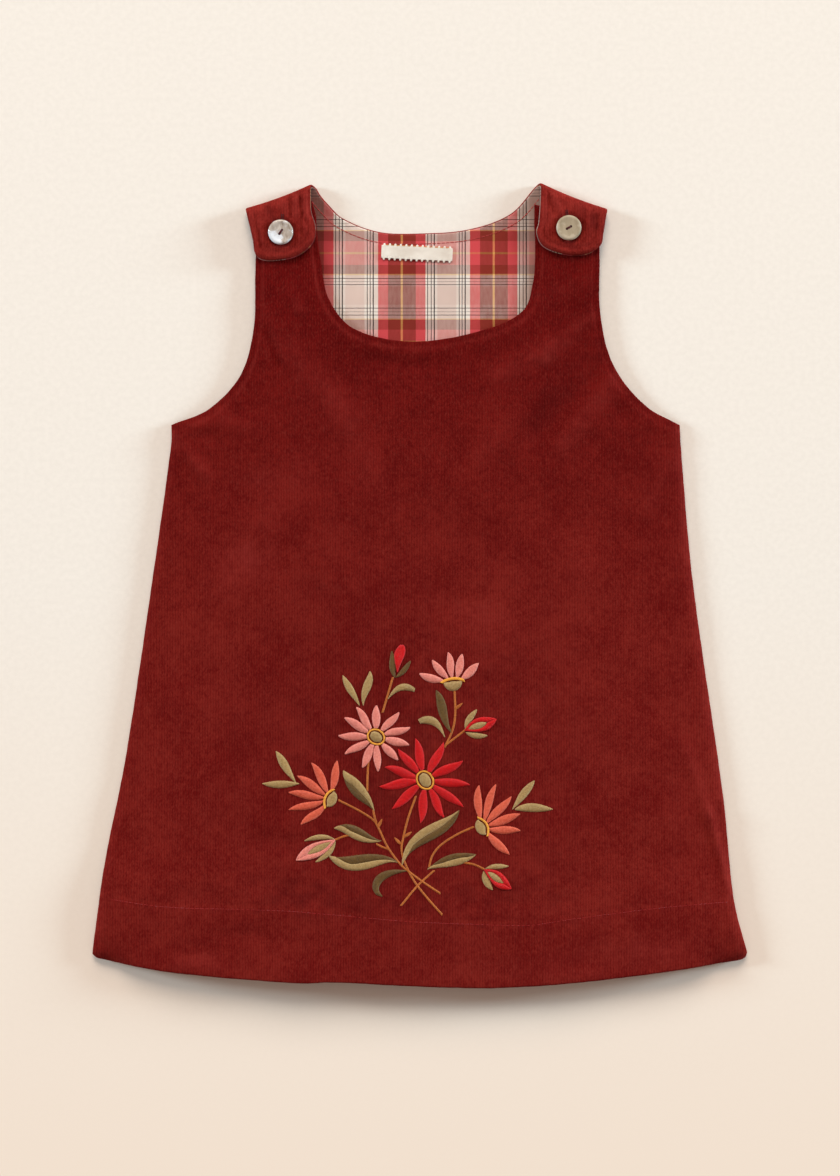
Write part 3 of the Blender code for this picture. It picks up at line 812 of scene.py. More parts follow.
def store_wear_and_painted_light(piece, amount_at):
    """Stores at each point of a mesh how worn the pile is, and how much painted shade and
    highlight it gets.
    """
    places = np.empty(len(piece.data.vertices) * 3)
    piece.data.vertices.foreach_get("co", places)
    layer = piece.data.attributes.new("wear_and_painted_light", "FLOAT", "POINT")
    layer.data.foreach_set("value", amount_at(places.reshape(-1, 3) / MM).astype(np.float32))


front = cloth_shell("pinafore_front", top_skin, front_faces(*top_skin[:2], "outer"),
                    under_skin, front_faces(*under_skin[:2], "inner"),
                    needlecord_finish, "front_panel")
store_wear_and_painted_light(front, front_wear_and_painted_light)

# %% [markdown]
# ## The back panel and its folded tabs
# The back is cut flat with long straps. Where a strap passes the shoulder it turns over
# on a small radius and comes down on the front as a rounded tab. Bending the finished mesh
# would stretch it, so each flat point is asked how far it lies past the fold: before it,
# it stays; on it, it goes round; past it, it comes back face up.

# %% The fold over a shoulder


def heading(degrees):
    """A step of 1 in a direction, anticlockwise from +X."""
    turn = math.radians(degrees)
    return np.array([math.cos(turn), math.sin(turn)])


def quarter_turn(step):
    return np.array([-step[1], step[0]])


class Shoulder:
    """A fold over the shoulder: the flat cut runs on past it, the cloth turns back."""

    def __init__(self, side, outer, inner):
        self.side = side
        self.length = math.dist(outer, inner)
        self.along = (np.array(inner) - outer) / self.length
        across = quarter_turn(self.along)
        self.outward = across * np.sign(across[1])
        self.axis = outer - self.outward * FOLD_RADIUS

    def split(self, points):
        """How far points are along the fold, and past its axis."""
        offset = points - self.axis
        return offset @ self.along, offset @ self.outward

    def join(self, along, past):
        return (self.axis + np.multiply.outer(along, self.along)
                + np.multiply.outer(past, self.outward))

    def unfold(self, points, radius):
        """Where points of the tab, as it lies, are in the flat cut."""
        along, past = self.split(points)
        return self.join(along, math.pi * radius - past)

    def place(self, points, radius, level, thick):
        """The cloth's middle, and the way its outer face looks, at points of the flat cut."""
        along, past = self.split(points)
        turned = np.clip(past / radius, 0, math.pi)
        flat = np.where(past < 0, past, -np.maximum(past - math.pi * radius, 0))
        hollow = np.maximum(1 - (2 * along / self.length - 1) ** 2, 0)
        sag = FOLD_SAG * hollow * bell(flat, FOLD_SAG_REACH)
        plan = self.join(along, flat + radius * np.sin(turned) - sag)
        middle = np.column_stack([plan, level + thick / 2 + radius * (1 - np.cos(turned))])
        facing = np.column_stack([np.multiply.outer(np.sin(turned), self.outward),
                                  -np.cos(turned)])
        return middle, facing, turned


SHOULDERS = {
    "left": Shoulder(-1, (-102.5, 221.9), (-64.6, 235.8)),
    "right": Shoulder(1, (110.6, 221.5), (71.3, 236.9)),
}
TAB_STEP = 1.3
TUCK_FROM = (0.68, 0.8)  # share of the way round the tab, from the neck's side
TUCK = 3.2
tab_lines = {side: curve(knots, TAB_STEP) for side, knots in TABS.items()}


def strap_beyond_fold(side, lower_inner, lower_outer, radius, grow):
    """The flat cut past a fold: round the fold, round the tab, and back.

    A lining grows past its tab by a little, and tucks away under it on the outer side.
    """
    shoulder = SHOULDERS[side]
    tab = tab_lines[side]
    if grow:
        hidden = smooth(np.linspace(0, 1, len(tab)), *TUCK_FROM)
        tab = inset(tab, (grow * -shoulder.side * (1 - TUCK * hidden))[:, None])
    flat_tab = shoulder.unfold(tab, radius)
    share = np.linspace(0, 1, FOLD_STEPS + 1)
    edges = []
    for lower, upper in ((lower_inner, flat_tab[0]), (lower_outer, flat_tab[-1])):
        start, end = shoulder.split(lower)[0], shoulder.split(upper)[0]
        edges.append(shoulder.join(start + (end - start) * share, math.pi * radius * share))
    past = shoulder.split(flat_tab[1:-1])[1] > math.pi * radius + 0.6
    return np.vstack([edges[0], flat_tab[1:-1][past], edges[1][::-1]])


UNDERARM_Y = 90.0


def back_outline(radius, side_inset, hem, edge_inset, grow):
    """Flat cut of the back, or of its lining, with its straps."""
    right = inset(right_side, side_inset)
    left = inset(left_side, side_inset)
    above_hem = max(hem[0, 1], hem[-1, 1]) + 1
    right, left = (line[(line[:, 1] > above_hem) & (line[:, 1] < UNDERARM_Y - side_inset)]
                   for line in (right, left))
    right_arm = inset(curve(BACK_RIGHT_ARMHOLE, EDGE_STEP), edge_inset)
    left_arm = inset(curve(BACK_LEFT_ARMHOLE, EDGE_STEP), edge_inset)
    neck = inset(curve(BACK_NECK, TAB_STEP), edge_inset)
    right_arm = right_arm[right_arm[:, 0] < right[-1, 0] - side_inset / 2]
    left_arm = left_arm[left_arm[:, 0] > left[0, 0] + side_inset / 2]
    right_strap = strap_beyond_fold("right", neck[0], right_arm[-1], radius, grow)
    left_strap = strap_beyond_fold("left", neck[-1], left_arm[0], radius, grow)
    return np.vstack([hem, right, right_arm[:-1], right_strap[::-1], neck[1:-1],
                      left_strap, left_arm[1:], left])


def placed_on_back(points, radius, level, thick):
    """The same for the whole back, with how far each point has turned."""
    middle = np.column_stack([points, np.full(len(points), level + thick / 2)])
    facing = np.tile([0.0, 0.0, -1.0], (len(points), 1))
    turned = np.zeros(len(points))
    for shoulder in SHOULDERS.values():
        along, past = shoulder.split(points)
        near = (along > -20) & (along < shoulder.length + 20) & (past > -40)
        laid = shoulder.place(points[near], radius, level, thick)
        middle[near], facing[near], turned[near] = laid
    return middle, facing, turned


def both_faces(points, depth, radius, level, thick):
    """Outer and inner face of cloth that goes round the folds, and how far it has turned."""
    middle, facing, turned = placed_on_back(points, radius, level, thick)
    half = (thick / 2 * rounding(depth))[:, None]
    return middle + facing * half, middle - facing * half, turned


# %% Relief of the tabs
BUTTONS = {
    # x, y, and which way its thread runs, in degrees
    "left": (-81.8, 207.2, 55.0),
    "right": (87.8, 209.7, 30.0),
}
BUTTON_RADIUS = 7.4
TAB_PUFF = 0.75
TAB_SEAM_IN = 4.4
TAB_SEAM_WIDTH = 0.9
TAB_SEAM_DEPTH = 0.45
TAB_CREASES = [
    # x0    y0     x1   y1  width height
    (-70.6, 231, -70.2, 221, 1.0, -0.6),
    (-69.2, 219, -69.6, 206, 1.0, -0.5),
    (-67.2, 230, -67.0, 209, 1.6, 0.45),
    (-73.2, 230, -73.4, 217, 1.5, 0.45),
    (-76.6, 228, -75.6, 217, 1.6, -0.6),
    (-80.5, 226, -79.5, 219, 2.0, 0.35),
    (-90.0, 222, -86.0, 214, 2.0, -0.5),
    (-94.5, 214, -91.0, 203, 2.0, 0.3),
    (-93.0, 199, -84.0, 196, 1.6, -0.3),
    (-76.0, 199, -70.0, 203, 1.6, -0.3),
    (96.0, 226, 94.5, 217, 1.8, -0.35),
    (99.5, 224, 98.5, 213, 1.8, 0.4),
    (79.0, 229, 83.5, 219, 1.6, 0.5),
    (76.4, 229, 79.0, 219, 1.3, -0.5),
    (74.0, 226, 74.8, 210, 1.6, 0.35),
    (103.5, 215, 101.0, 204, 1.8, -0.5),
    (98.5, 222, 96.0, 212, 1.5, -0.4),
    (82.0, 199, 92.0, 198, 1.6, -0.3),
]


def tab_relief(plan):
    """How far the tab's face stands proud: puffed inside its edge, pressed by the button."""
    x, y = plan.T
    lift = np.zeros(len(plan))
    for side, (button_x, button_y, _) in BUTTONS.items():
        mine = (x < 0) == (button_x < 0)
        from_edge = gap_to(plan[mine], tab_lines[side])
        from_button = np.hypot(x[mine] - button_x, y[mine] - button_y)
        seam = TAB_SEAM_DEPTH * bell(from_edge - TAB_SEAM_IN, TAB_SEAM_WIDTH)
        lift[mine] = TAB_PUFF * smooth(from_edge, 0.4, 2.8) - seam
        lift[mine] *= smooth(from_button, BUTTON_RADIUS - 0.4, BUTTON_RADIUS + 2.6)
    return lift + creases(x, y, TAB_CREASES)


def tab_height(x, y):
    """Height of a tab's face at points in plan."""
    return TAB_LEVEL + CORD + tab_relief(np.column_stack([x, y]))


# %% Back panel
BACK_HEM_INSET = 3.0
BACK_SIDE_INSET = 0.8
BODY_TOP = 214
back_radius = FOLD_RADIUS - CORD / 2
back_cut = back_outline(back_radius, BACK_SIDE_INSET, inset(hem_line, BACK_HEM_INSET)[1:-1],
                        0.0, 0.0)


def strap_spots(radius, row_step):
    """Close points round each fold and, in step with the wales, over each tab."""
    spots = []
    for side, shoulder in SHOULDERS.items():
        low, high = tab_lines[side].min(0), tab_lines[side].max(0)
        plan = grid(wale_columns(low[0], high[0]), np.arange(low[1], high[1] + 8, row_step))
        plan = plan[shoulder.split(plan)[1] < -0.4]
        spots.append(shoulder.unfold(plan, radius))
        round_fold = grid(np.arange(-8, shoulder.length + 8, 1.1),
                          np.arange(-6, math.pi * radius, 0.9))
        spots.append(shoulder.join(*round_fold.T))
    return np.vstack(spots)


body_spots = lattice(back_cut, 7.0)
body_spots = body_spots[body_spots[:, 1] < BODY_TOP]
back_skin = skin(back_cut, np.vstack([body_spots, strap_spots(back_radius, 1.3)]))
BACK_CREASES = [
    # x0   y0   x1   y1  width height: shallow hollows in the side that lies on the table
    (-110, 60, -50, 20, 9, 0.24),
    (40, 120, 95, 70, 8, 0.24),
    (-60, 150, -20, 110, 8, 0.24),
    (60, -40, 130, -90, 12, 0.24),
    (-150, -120, -90, -150, 11, 0.24),
    (-20, -60, 30, -30, 13, 0.24),
    (90, -160, 150, -180, 9, 0.24),
]


def back_faces(points, depth):
    """The outer and inner face of the back panel."""
    outer, inner, turned = both_faces(points, depth, back_radius, BACK_LEVEL, CORD)
    on_tab = turned > math.pi - 0.01
    outer[on_tab, 2] += tab_relief(outer[on_tab, :2]) * depth[on_tab]
    from_edge = gap_to(outer[on_tab, :2], np.vstack(list(tab_lines.values())))
    outer[on_tab, 2] += wale_relief(outer[on_tab, 0]) * smooth(from_edge, 1.5, 3.5)
    body = points[:, 1] < 200
    x, y = points[body].T
    inner[body, 2] += HEM_EXTRA * in_hem(x, y) * depth[body] * (y < 0)
    outer[body, 2] += creases(x, y, BACK_CREASES) * depth[body]
    return outer, inner


back_outer, back_inner = back_faces(*back_skin[:2])
back = cloth_shell("pinafore_back", back_skin, back_inner, back_skin, back_outer,
                   needlecord_against_nap, "back_panel")

# %% Where the tabs' pile is worn, and where shade is painted on it
TAB_EDGE_WEAR = 0.25
TAB_PATCHES = [
    # x    y    half sizes, how much
    (75.7, 218, 4.5, 12, 0.22),
    (101, 216, 7, 11, -0.18),
    (-74, 224, 5, 8, 0.12),
    (-92, 206, 5, 9, -0.1),
]


def tab_wear_and_painted_light(points):
    """The same for the tabs: edges and crests worn paler, and painted shade in the hollows of
    their creases.
    """
    amount = np.zeros(len(points))
    on_tab = (points[:, 2] > TAB_LEVEL - 0.5) & (points[:, 1] > 180)
    plan = points[on_tab, :2]
    from_edge = np.min([gap_to(plan, line) for line in tab_lines.values()], axis=0)
    # Crests paler and crease hollows darker: painted shade, with some wear on the crests.
    amount[on_tab] = (TAB_EDGE_WEAR * bell(from_edge - 1.4, 1.2)
                      + np.clip(0.5 * (tab_relief(plan) - TAB_PUFF), -0.5, 0.35)
                      + patches(*plan.T, TAB_PATCHES))
    return amount


store_wear_and_painted_light(back, tab_wear_and_painted_light)

# %% [markdown]
# ## The check lining
# A woven check is two sets of stripes, one along and one across, and where they cross the
# eye sees both threads at once. So the finish is two ramps of stripes, by X and by Y, mixed
# through a fine weave, not a picture of squares. The warp shows more, so it has two thirds
# of the mixture, and the thin dark lines are pressed over both. One repeat of each is
# charted from its own widths in millimetres.

# %% Cotton check finish
RED = rgb(206, 70, 74)
BROWN = rgb(130, 37, 24)
WHITE = rgb(232, 220, 208)
BEIGE = rgb(216, 190, 177)
GOLD = rgb(208, 152, 80)
PALE_GOLD = rgb(234, 192, 124)
INK = rgb(58, 34, 36)
INK_PRESS = rgb(74, 44, 46)
UNTOUCHED = (1, 1, 1, 1)
WARP_SHARE = 0.667
WARP_REPEAT = 54.3
WARP = [
    # where each stripe starts, from the middle of the gold line
    (-0.6, GOLD), (0.6, BROWN), (8.3, RED), (14.0, WHITE), (14.95, INK), (15.5, WHITE),
    (17.15, INK), (17.5, WHITE), (18.85, INK), (19.4, WHITE), (20.9, BEIGE), (32.1, WHITE),
    (33.55, INK), (34.1, WHITE), (35.45, INK), (35.8, WHITE), (37.15, INK), (37.7, WHITE),
    (40.2, RED), (46.1, BROWN),
]
WEFT_REPEAT = 52.3
WEFT = [
    # the same down the dress
    (-0.55, GOLD), (0.55, RED), (7.0, BROWN), (12.2, PALE_GOLD), (13.0, WHITE), (14.6, INK),
    (15.0, WHITE), (16.7, INK), (16.9, WHITE), (18.4, INK), (18.8, WHITE), (19.5, BEIGE),
    (30.4, WHITE), (32.2, INK), (32.6, WHITE), (34.4, INK), (34.6, WHITE), (36.3, INK),
    (36.7, WHITE), (38.6, PALE_GOLD), (39.2, BROWN), (45.1, RED),
]
WARP_GOLD_X = -10.6
WEFT_GOLD_Y = 195.5
DARKER_SHARE = 0.26
INK_SHARES = (0.85, 0.75)
YARN = 0.5
YARN_STRAY = 0.25
NECK_MIDDLE = 4
# Painted shade: the lining is darker beside the straps and at the shoulders, where the folded
# straps shade it.
PAINTED_SHADE_UNDER_STRAP = rgb(185, 168, 165)
PAINTED_SHADE_AT_SHOULDER = rgb(196, 186, 182)
HOLLOW_TINT = rgb(150, 110, 100)


def check_cotton():
    paint = Paint("check_cotton", 0.88, Sheen_Weight=0.08, Specular_IOR_Level=0.2)
    stray = paint.swing(paint.noise(3.0, 2.0), YARN_STRAY * MM)
    x = paint.plus(paint.x, stray)
    y = paint.times(paint.plus(paint.y, stray), -1.0)
    stripes, lines = [], []
    for along, table, length, start in ((x, WARP, WARP_REPEAT, WARP_GOLD_X),
                                        (y, WEFT, WEFT_REPEAT, -WEFT_GOLD_Y)):
        first = table[0][0]
        place = paint.repeat(along, length, start + first)
        stripes.append(paint.bands(place, [((at - first) / length, colour)
                                           for at, colour in table]))
        lines.append(paint.bands(place, [((at - first) / length,
                                          INK_PRESS if colour == INK else UNTOUCHED)
                                         for at, colour in table]))
    weave = paint.times(paint.ripple(paint.x, YARN), paint.ripple(paint.y, YARN))
    uneven = paint.stretch(0.3, 0.7, -0.06, 0.06, paint.noise(1.4, 2.0, (1, 4, 1)))
    weft_share = paint.stretch(-1, 1, 0.9 - WARP_SHARE, 1.1 - WARP_SHARE, weave)
    share = paint.plus(weft_share, uneven)
    cloth = paint.mix(share, *stripes)
    cloth = paint.mix(DARKER_SHARE, cloth, paint.mix(1.0, *stripes, "DARKEN"))
    for ink_share, drawn in zip(INK_SHARES, lines):
        cloth = paint.mix(ink_share, cloth, drawn, "MULTIPLY")
    soft = paint.stretch(0.3, 0.7, 0.0, 0.18, paint.noise(24, 2.0))
    cloth = paint.mix(soft, cloth, HOLLOW_TINT, "MULTIPLY")
    # Painted shade near the folded straps and at the shoulders.
    from_middle = paint.reckon("ABSOLUTE", paint.minus(paint.x, NECK_MIDDLE * MM))
    corner_shade_share = paint.stretch(47 * MM, 63 * MM, 0.0, 0.85, from_middle)
    cloth = paint.mix(corner_shade_share, cloth, PAINTED_SHADE_UNDER_STRAP, "MULTIPLY")
    shoulder_shade_share = paint.times(paint.stretch(44 * MM, 56 * MM, 0.0, 1.0, from_middle),
                              paint.stretch(196 * MM, 216 * MM, 0.0, 0.45, paint.y))
    paint.bump(weave, 0.06, 0.5)
    return paint.colour(paint.mix(shoulder_shade_share, cloth, PAINTED_SHADE_AT_SHOULDER, "MULTIPLY"))


check_finish = check_cotton()

# %% Back lining
LINING_SIDE_INSET = 7.0
LINING_EDGE_INSET = 0.7
LINING_TAB_SHOWS = 0.38
LINING_HEM_UP = 1.3
NECK_WINDOW = np.array([(-75, 138), (75, 232)])  # the part that shows, with closer points
lining_radius = FOLD_RADIUS - CORD - GAP - LINING / 2


def between_sides(line, inward):
    """The part of a line across the dress that keeps clear of both side seams."""
    x, y = line.T
    return line[(x > across_at(left_side, y) + inward) & (x < across_at(right_side, y) - inward)]


lining_hem = curve(HEM, 13.0)
lining_hem[:, 1] = height_at(hem_line, lining_hem[:, 0]) + HEM_DEPTH + LINING_HEM_UP
lining_cut = back_outline(lining_radius, LINING_SIDE_INSET, between_sides(lining_hem, 11),
                          LINING_EDGE_INSET, LINING_TAB_SHOWS)
neck_spots = lattice(NECK_WINDOW, 2.4)
rest_spots = lattice(lining_cut, 9.0)
out_of_window = ((rest_spots[:, 1] < NECK_WINDOW[0, 1] - 2)
                 | (np.abs(rest_spots[:, 0]) > NECK_WINDOW[1, 0] + 2))
rest_spots = rest_spots[out_of_window & (rest_spots[:, 1] < BODY_TOP)]
fold_spots = np.vstack([
    shoulder.join(*grid(np.arange(-6, shoulder.length, 2.6), np.arange(-4, 45, 1.1)).T)
    for shoulder in SHOULDERS.values()])
LINING_CREASES = [
    # x0  y0   x1   y1  width height
    (-40, 205, -28, 160, 5, 0.22),
    (-12, 190, -4, 150, 6, -0.18),
    (18, 200, 34, 165, 6, 0.2),
    (50, 205, 44, 170, 4, -0.2),
    (-52, 196, -46, 176, 4, 0.2),
    (0, 176, 24, 156, 5, 0.16),
]
NECK_STITCH_IN = 6.4
NECK_GROOVE = 0.2
neck_stitching = inset(curve(BACK_NECK, 1.0), NECK_STITCH_IN)


def lining_relief(x, y):
    """Creases of the lining, which fade where its neck edge is stitched down."""
    return creases(x, y, LINING_CREASES) * smooth(200 - y, -6, 14)


def lining_height(x, y):
    return LINING_LEVEL + LINING + lining_relief(x, y)


def lining_faces(points, depth):
    outer, inner, turned = both_faces(points, depth, lining_radius, LINING_LEVEL, LINING)
    flat = (turned < 0.01) & (points[:, 1] > 140) & (np.abs(points[:, 0]) < 66)
    groove = NECK_GROOVE * bell(gap_to(points[flat], neck_stitching), 0.8)
    inner[flat, 2] += (lining_relief(*points[flat].T) - groove) * depth[flat]
    return outer, inner


lining_skin = skin(lining_cut, np.vstack([neck_spots, rest_spots, fold_spots]), rim=0.8)
lining_outer, lining_inner = lining_faces(*lining_skin[:2])
lining = cloth_shell("check_lining", lining_skin, lining_inner, lining_skin, lining_outer,
                     check_finish, "back_lining")

# %% [markdown]
# ## The woven label
# A ribbon label with folded ends and a picot edge: a row of small square teeth along each
# long side, with a turn of gold thread in each notch of the upper side and of dark brown
# thread in each notch of the lower, which also stands in as painted shade under the lower
# edge. What a maker weaves into it is left off, so it is bare cream satin. The teeth are
# cut into the outline itself, so they show from any side.

# %% Label
LABEL_SIZE = (42.0, 9.9)
LABEL_AT = np.array([-1.6, 195.4])
LABEL_ACROSS = heading(-2.8)
LABEL_TURN = np.stack([LABEL_ACROSS, quarter_turn(LABEL_ACROSS)])
LABEL_TEETH = 13
LABEL_TOOTH = 1.15
LABEL_FOLD = 0.2
LABEL_LIFT = 0.12
LABEL_BOW = 0.08


def ribbon():
    paint = Paint("cream_ribbon", 0.6, Sheen_Weight=0.15, Specular_IOR_Level=0.35)
    paint.bump(paint.times(paint.ripple(paint.x, 0.45), paint.ripple(paint.y, 0.3)), 0.05, 0.5)
    tone = paint.stretch(0.3, 0.7, 0.0, 1.0, paint.noise(5, 3.0, (2, 1, 1)))
    return paint.colour(paint.mix(tone, rgb(218, 205, 190), rgb(236, 226, 213)))


def label_outline():
    """A straight ribbon with a small square tooth at each repeat of its picot edge."""
    long_side, short_side = LABEL_SIZE
    along = np.linspace(-long_side / 2, long_side / 2, LABEL_TEETH * 12 + 1)[:-1]
    phase = (along + long_side / 2) / long_side * LABEL_TEETH
    tooth = smooth(-np.cos(math.tau * phase), 0.1, 0.75)
    lower = np.stack([along, -short_side / 2 + LABEL_TOOTH * (1 - tooth)], 1)
    end = np.stack([np.full(5, long_side / 2), np.linspace(-1, 1, 7)[1:-1] * 3.6], 1)
    start = np.array([[long_side / 2, -short_side / 2 + LABEL_TOOTH]])
    half = np.vstack([lower, start, end])
    return np.vstack([half, -half]) @ LABEL_TURN + LABEL_AT


def label_height(x, y):
    """The ribbon lies on the lining and bows a little between its folded, thicker ends."""
    along = (x - LABEL_AT[0]) / (LABEL_SIZE[0] / 2)
    folded = LABEL_FOLD * smooth(np.abs(along), 0.82, 0.88)
    bow = LABEL_BOW * (1 + np.cos(along * 7.0) * (1 - along**2))
    return lining_height(x, y) + LABEL_LIFT + RIBBON + folded + bow


label_cut = label_outline()
label_skin = skin(label_cut, lattice(label_cut, 1.6), rim=0.35)
label_top = label_height(*label_skin[0].T)
label_faces = [np.column_stack([label_skin[0], label_top - RIBBON / 2
                                + sign * RIBBON / 2 * rounding(label_skin[1])])
               for sign in (1, -1)]
label = cloth_shell("woven_label", label_skin, label_faces[0], label_skin, label_faces[1],
                    ribbon(), "label")

# %% [markdown]
# ## Shell buttons
# A pearl button is turned on a lathe: flat back, rounded rim and a shallow dish with two
# drilled holes. Spinning a profile is the same operation, and a Boolean drills the holes.
# The two are cut from different shells: one is grey and cloudy, the other is even and
# khaki. Each has a highlight painted towards its lower left, blue-white on the grey one.

# %% Shell finishes


def shell_finish(side, name, dark, light, painted_highlight, layers_mm, roughness, coat):
    paint = Paint(name, roughness, Coat_Weight=coat, Coat_Roughness=0.16,
                  Specular_IOR_Level=0.5)
    x, y, _ = BUTTONS[side]
    growth = paint.noise(layers_mm, 4.0, (1, 2.6, 1), 0.62)
    cloudy = paint.mix(paint.stretch(0.32, 0.68, 0, 1, growth), dark, light)
    # A painted highlight, placed towards the button's lower left.
    leftward = paint.minus((x - 2.0) * MM, paint.x)
    downward = paint.minus((y - 1.0) * MM, paint.y)
    toward = paint.plus(paint.times(leftward, 0.6), downward)
    clear = paint.plus(paint.noise(4.0, 2.0),
                       paint.stretch(-6 * MM, 6 * MM, -0.12, 0.2, toward))
    highlight_share = paint.stretch(0.5, 0.66, 0, 0.85, clear)
    paint.bump(paint.noise(0.8, 3.0, (1, 3, 1)), 0.03, 0.35)
    return paint.colour(paint.mix(highlight_share, cloudy, painted_highlight))


SHELLS = {
    "left": shell_finish("left", "grey_shell", rgb(146, 130, 116), rgb(202, 190, 178),
                         rgb(228, 232, 238), 2.2, 0.26, 0.5),
    "right": shell_finish("right", "khaki_shell", rgb(150, 133, 107), rgb(171, 153, 126),
                          rgb(184, 168, 144), 3.4, 0.55, 0.05),
}

# %% Turn a button and drill it
DISH = {"left": 0.6, "right": 0.22}
DISH_PROFILE = [
    # radius, share of the dish's depth
    (0, 1.0), (2.6, 0.97), (3.9, 0.86), (4.9, 0.5), (5.6, 0.14), (6.2, 0.0),
]
RIM_PROFILE = [
    # radius, height: over the rim and under it to the middle
    (6.8, 2.28), (7.2, 1.9), (7.4, 1.35), (7.3, 0.7), (6.9, 0.25), (6.2, 0.0), (0, 0.0),
]
BUTTON_THICK = 2.4
BUTTON_SEGMENTS = 72
HOLE_RADIUS = 0.75
HOLE_SPACING = 2.7
HOLE_SEGMENTS = 24
SHARP_ANGLE = 38


def finished(mesh, name):
    """An object from a mesh under construction."""
    data = bpy.data.meshes.new(name)
    mesh.to_mesh(data)
    mesh.free()
    return add_object(name, data)


def turned_blank(side):
    profile = [(radius, BUTTON_THICK - DISH[side] * depth) for radius, depth in DISH_PROFILE]
    mesh = bmesh.new()
    corners = [mesh.verts.new(Vector((radius, 0, height)) * MM)
               for radius, height in profile + RIM_PROFILE]
    line = [mesh.edges.new(pair) for pair in zip(corners, corners[1:])]
    bmesh.ops.spin(mesh, geom=corners + line, cent=(0, 0, 0), axis=(0, 0, 1),
                   angle=math.tau, steps=BUTTON_SEGMENTS, use_merge=True)
    bmesh.ops.remove_doubles(mesh, verts=mesh.verts, dist=1e-6)
    bmesh.ops.recalc_face_normals(mesh, faces=mesh.faces)
    return finished(mesh, "blank")


def button(side):
    x, y, thread_angle = BUTTONS[side]
    blank = turned_blank(side)
    drills = []
    for sign in (-1, 1):
        mesh = bmesh.new()
        bmesh.ops.create_cone(mesh, cap_ends=True, segments=HOLE_SEGMENTS, depth=6 * MM,
                              radius1=HOLE_RADIUS * MM, radius2=HOLE_RADIUS * MM)
        aside = Vector((*heading(thread_angle), 0)) * sign * HOLE_SPACING / 2 * MM
        bmesh.ops.translate(mesh, verts=mesh.verts, vec=aside)
        drills.append(finished(mesh, "drill"))
        cut = blank.modifiers.new("hole", "BOOLEAN")
        cut.operation = "DIFFERENCE"
        cut.object = drills[-1]
    ready = blank.evaluated_get(bpy.context.evaluated_depsgraph_get())
    drilled = bpy.data.meshes.new_from_object(ready)
    points = [vert.co / MM + Vector((x, y, BUTTON_LEVEL)) for vert in drilled.vertices]
    faces = [face.vertices for face in drilled.polygons]
    made = make_piece(f"shell_button_{side}", points, faces, SHELLS[side],
                      f"button_{side}")
    made.data.set_sharp_from_angle(angle=math.radians(SHARP_ANGLE))
    for thing in drills + [blank]:
        bpy.data.objects.remove(thing, do_unlink=True)


for side in BUTTONS:
    button(side)

# %% [markdown]
# ## Thread
# Every stitch on the dress is the same thing: a short thread that leaves the cloth, bows
# up and goes back in. One function makes them all, thousands at a time, as closed strips
# with a ridge along the middle. Curve objects with a bevel would do the same for a few,
# but far more slowly for the embroidery.

# %% Thread maker
ROUND = [(-1.0, 0.0), (-0.62, 0.8), (0.0, 1.0), (0.62, 0.8), (1.0, 0.0)]
RIDGE = [(-1.0, 0.0), (0.0, 1.0), (1.0, 0.0)]
SUNK = 0.12
THIN_END = 0.55


def threads(name, starts, ends, rise, width, ground, material, section=ROUND, spans=6,
            lift=0.0, flat=0.5):
    """Closed strips from each start to each end, bowed up by its rise above the ground."""
    starts, ends = np.asarray(starts, float), np.asarray(ends, float)
    rise = np.broadcast_to(rise, len(starts))
    share = 0.5 - 0.5 * np.cos(np.linspace(0, math.pi, spans + 1))
    bow = (1 - np.abs(2 * share - 1) ** 2.2) ** 0.6
    along = ends - starts
    across = np.stack([-along[:, 1], along[:, 0]], 1)
    across /= np.linalg.norm(across, axis=1)[:, None]
    thick = flat * width
    corners = []
    for t, arch in zip(share, bow):
        spot = starts + along * t
        level = ground(*spot.T) + lift - SUNK + (rise + SUNK * 0.5) * arch
        narrow = THIN_END + (1 - THIN_END) * min(1, arch * 2)
        for sideways, up in section:
            plan = spot + across * (sideways * width / 2 * narrow)
            corners.append(np.column_stack([plan, level + up * thick * narrow]))
    sides = len(section)
    points = np.stack(corners, 1).reshape(-1, 3)
    strip = [(first + side, first + (side + 1) % sides,
              first + (side + 1) % sides + sides, first + side + sides)
             for first in range(0, spans * sides, sides) for side in range(sides)]
    caps = [range(sides)[::-1], range(spans * sides, (spans + 1) * sides)]
    shift = np.arange(len(starts))[:, None, None] * sides * (spans + 1)
    faces = (np.array(strip) + shift).reshape(-1, 4).tolist()
    faces += (np.array(caps) + shift).reshape(-1, sides).tolist()
    return make_piece(name, points, faces, material)


def thread_finish(name, colour, shade, gloss=0.5):
    """Twisted, slightly shiny thread."""
    paint = Paint(name, gloss, Sheen_Weight=0.06, Specular_IOR_Level=0.22)
    tone = paint.stretch(0.3, 0.7, 0.0, 1.0, paint.noise(1.2, 2.0))
    broad = paint.stretch(0.35, 0.65, 0.0, 0.3, paint.noise(9, 2.0))
    mixed = paint.mix(paint.times(tone, 0.8), colour, shade)
    paint.bump(paint.noise(0.3, 2.0), 0.05, 0.4)
    return paint.colour(paint.mix(broad, mixed, shade))


def along_line(line, stitch, gap):
    """Both ends of each running stitch along a line."""
    steps = np.linalg.norm(np.diff(line, axis=0), axis=1)
    length = np.concatenate([[0], np.cumsum(steps)])
    marks = np.arange(0, length[-1] - stitch, stitch + gap)
    return [np.stack([np.interp(marks + more, length, line[:, axis]) for axis in (0, 1)], 1)
            for more in (0, stitch)]


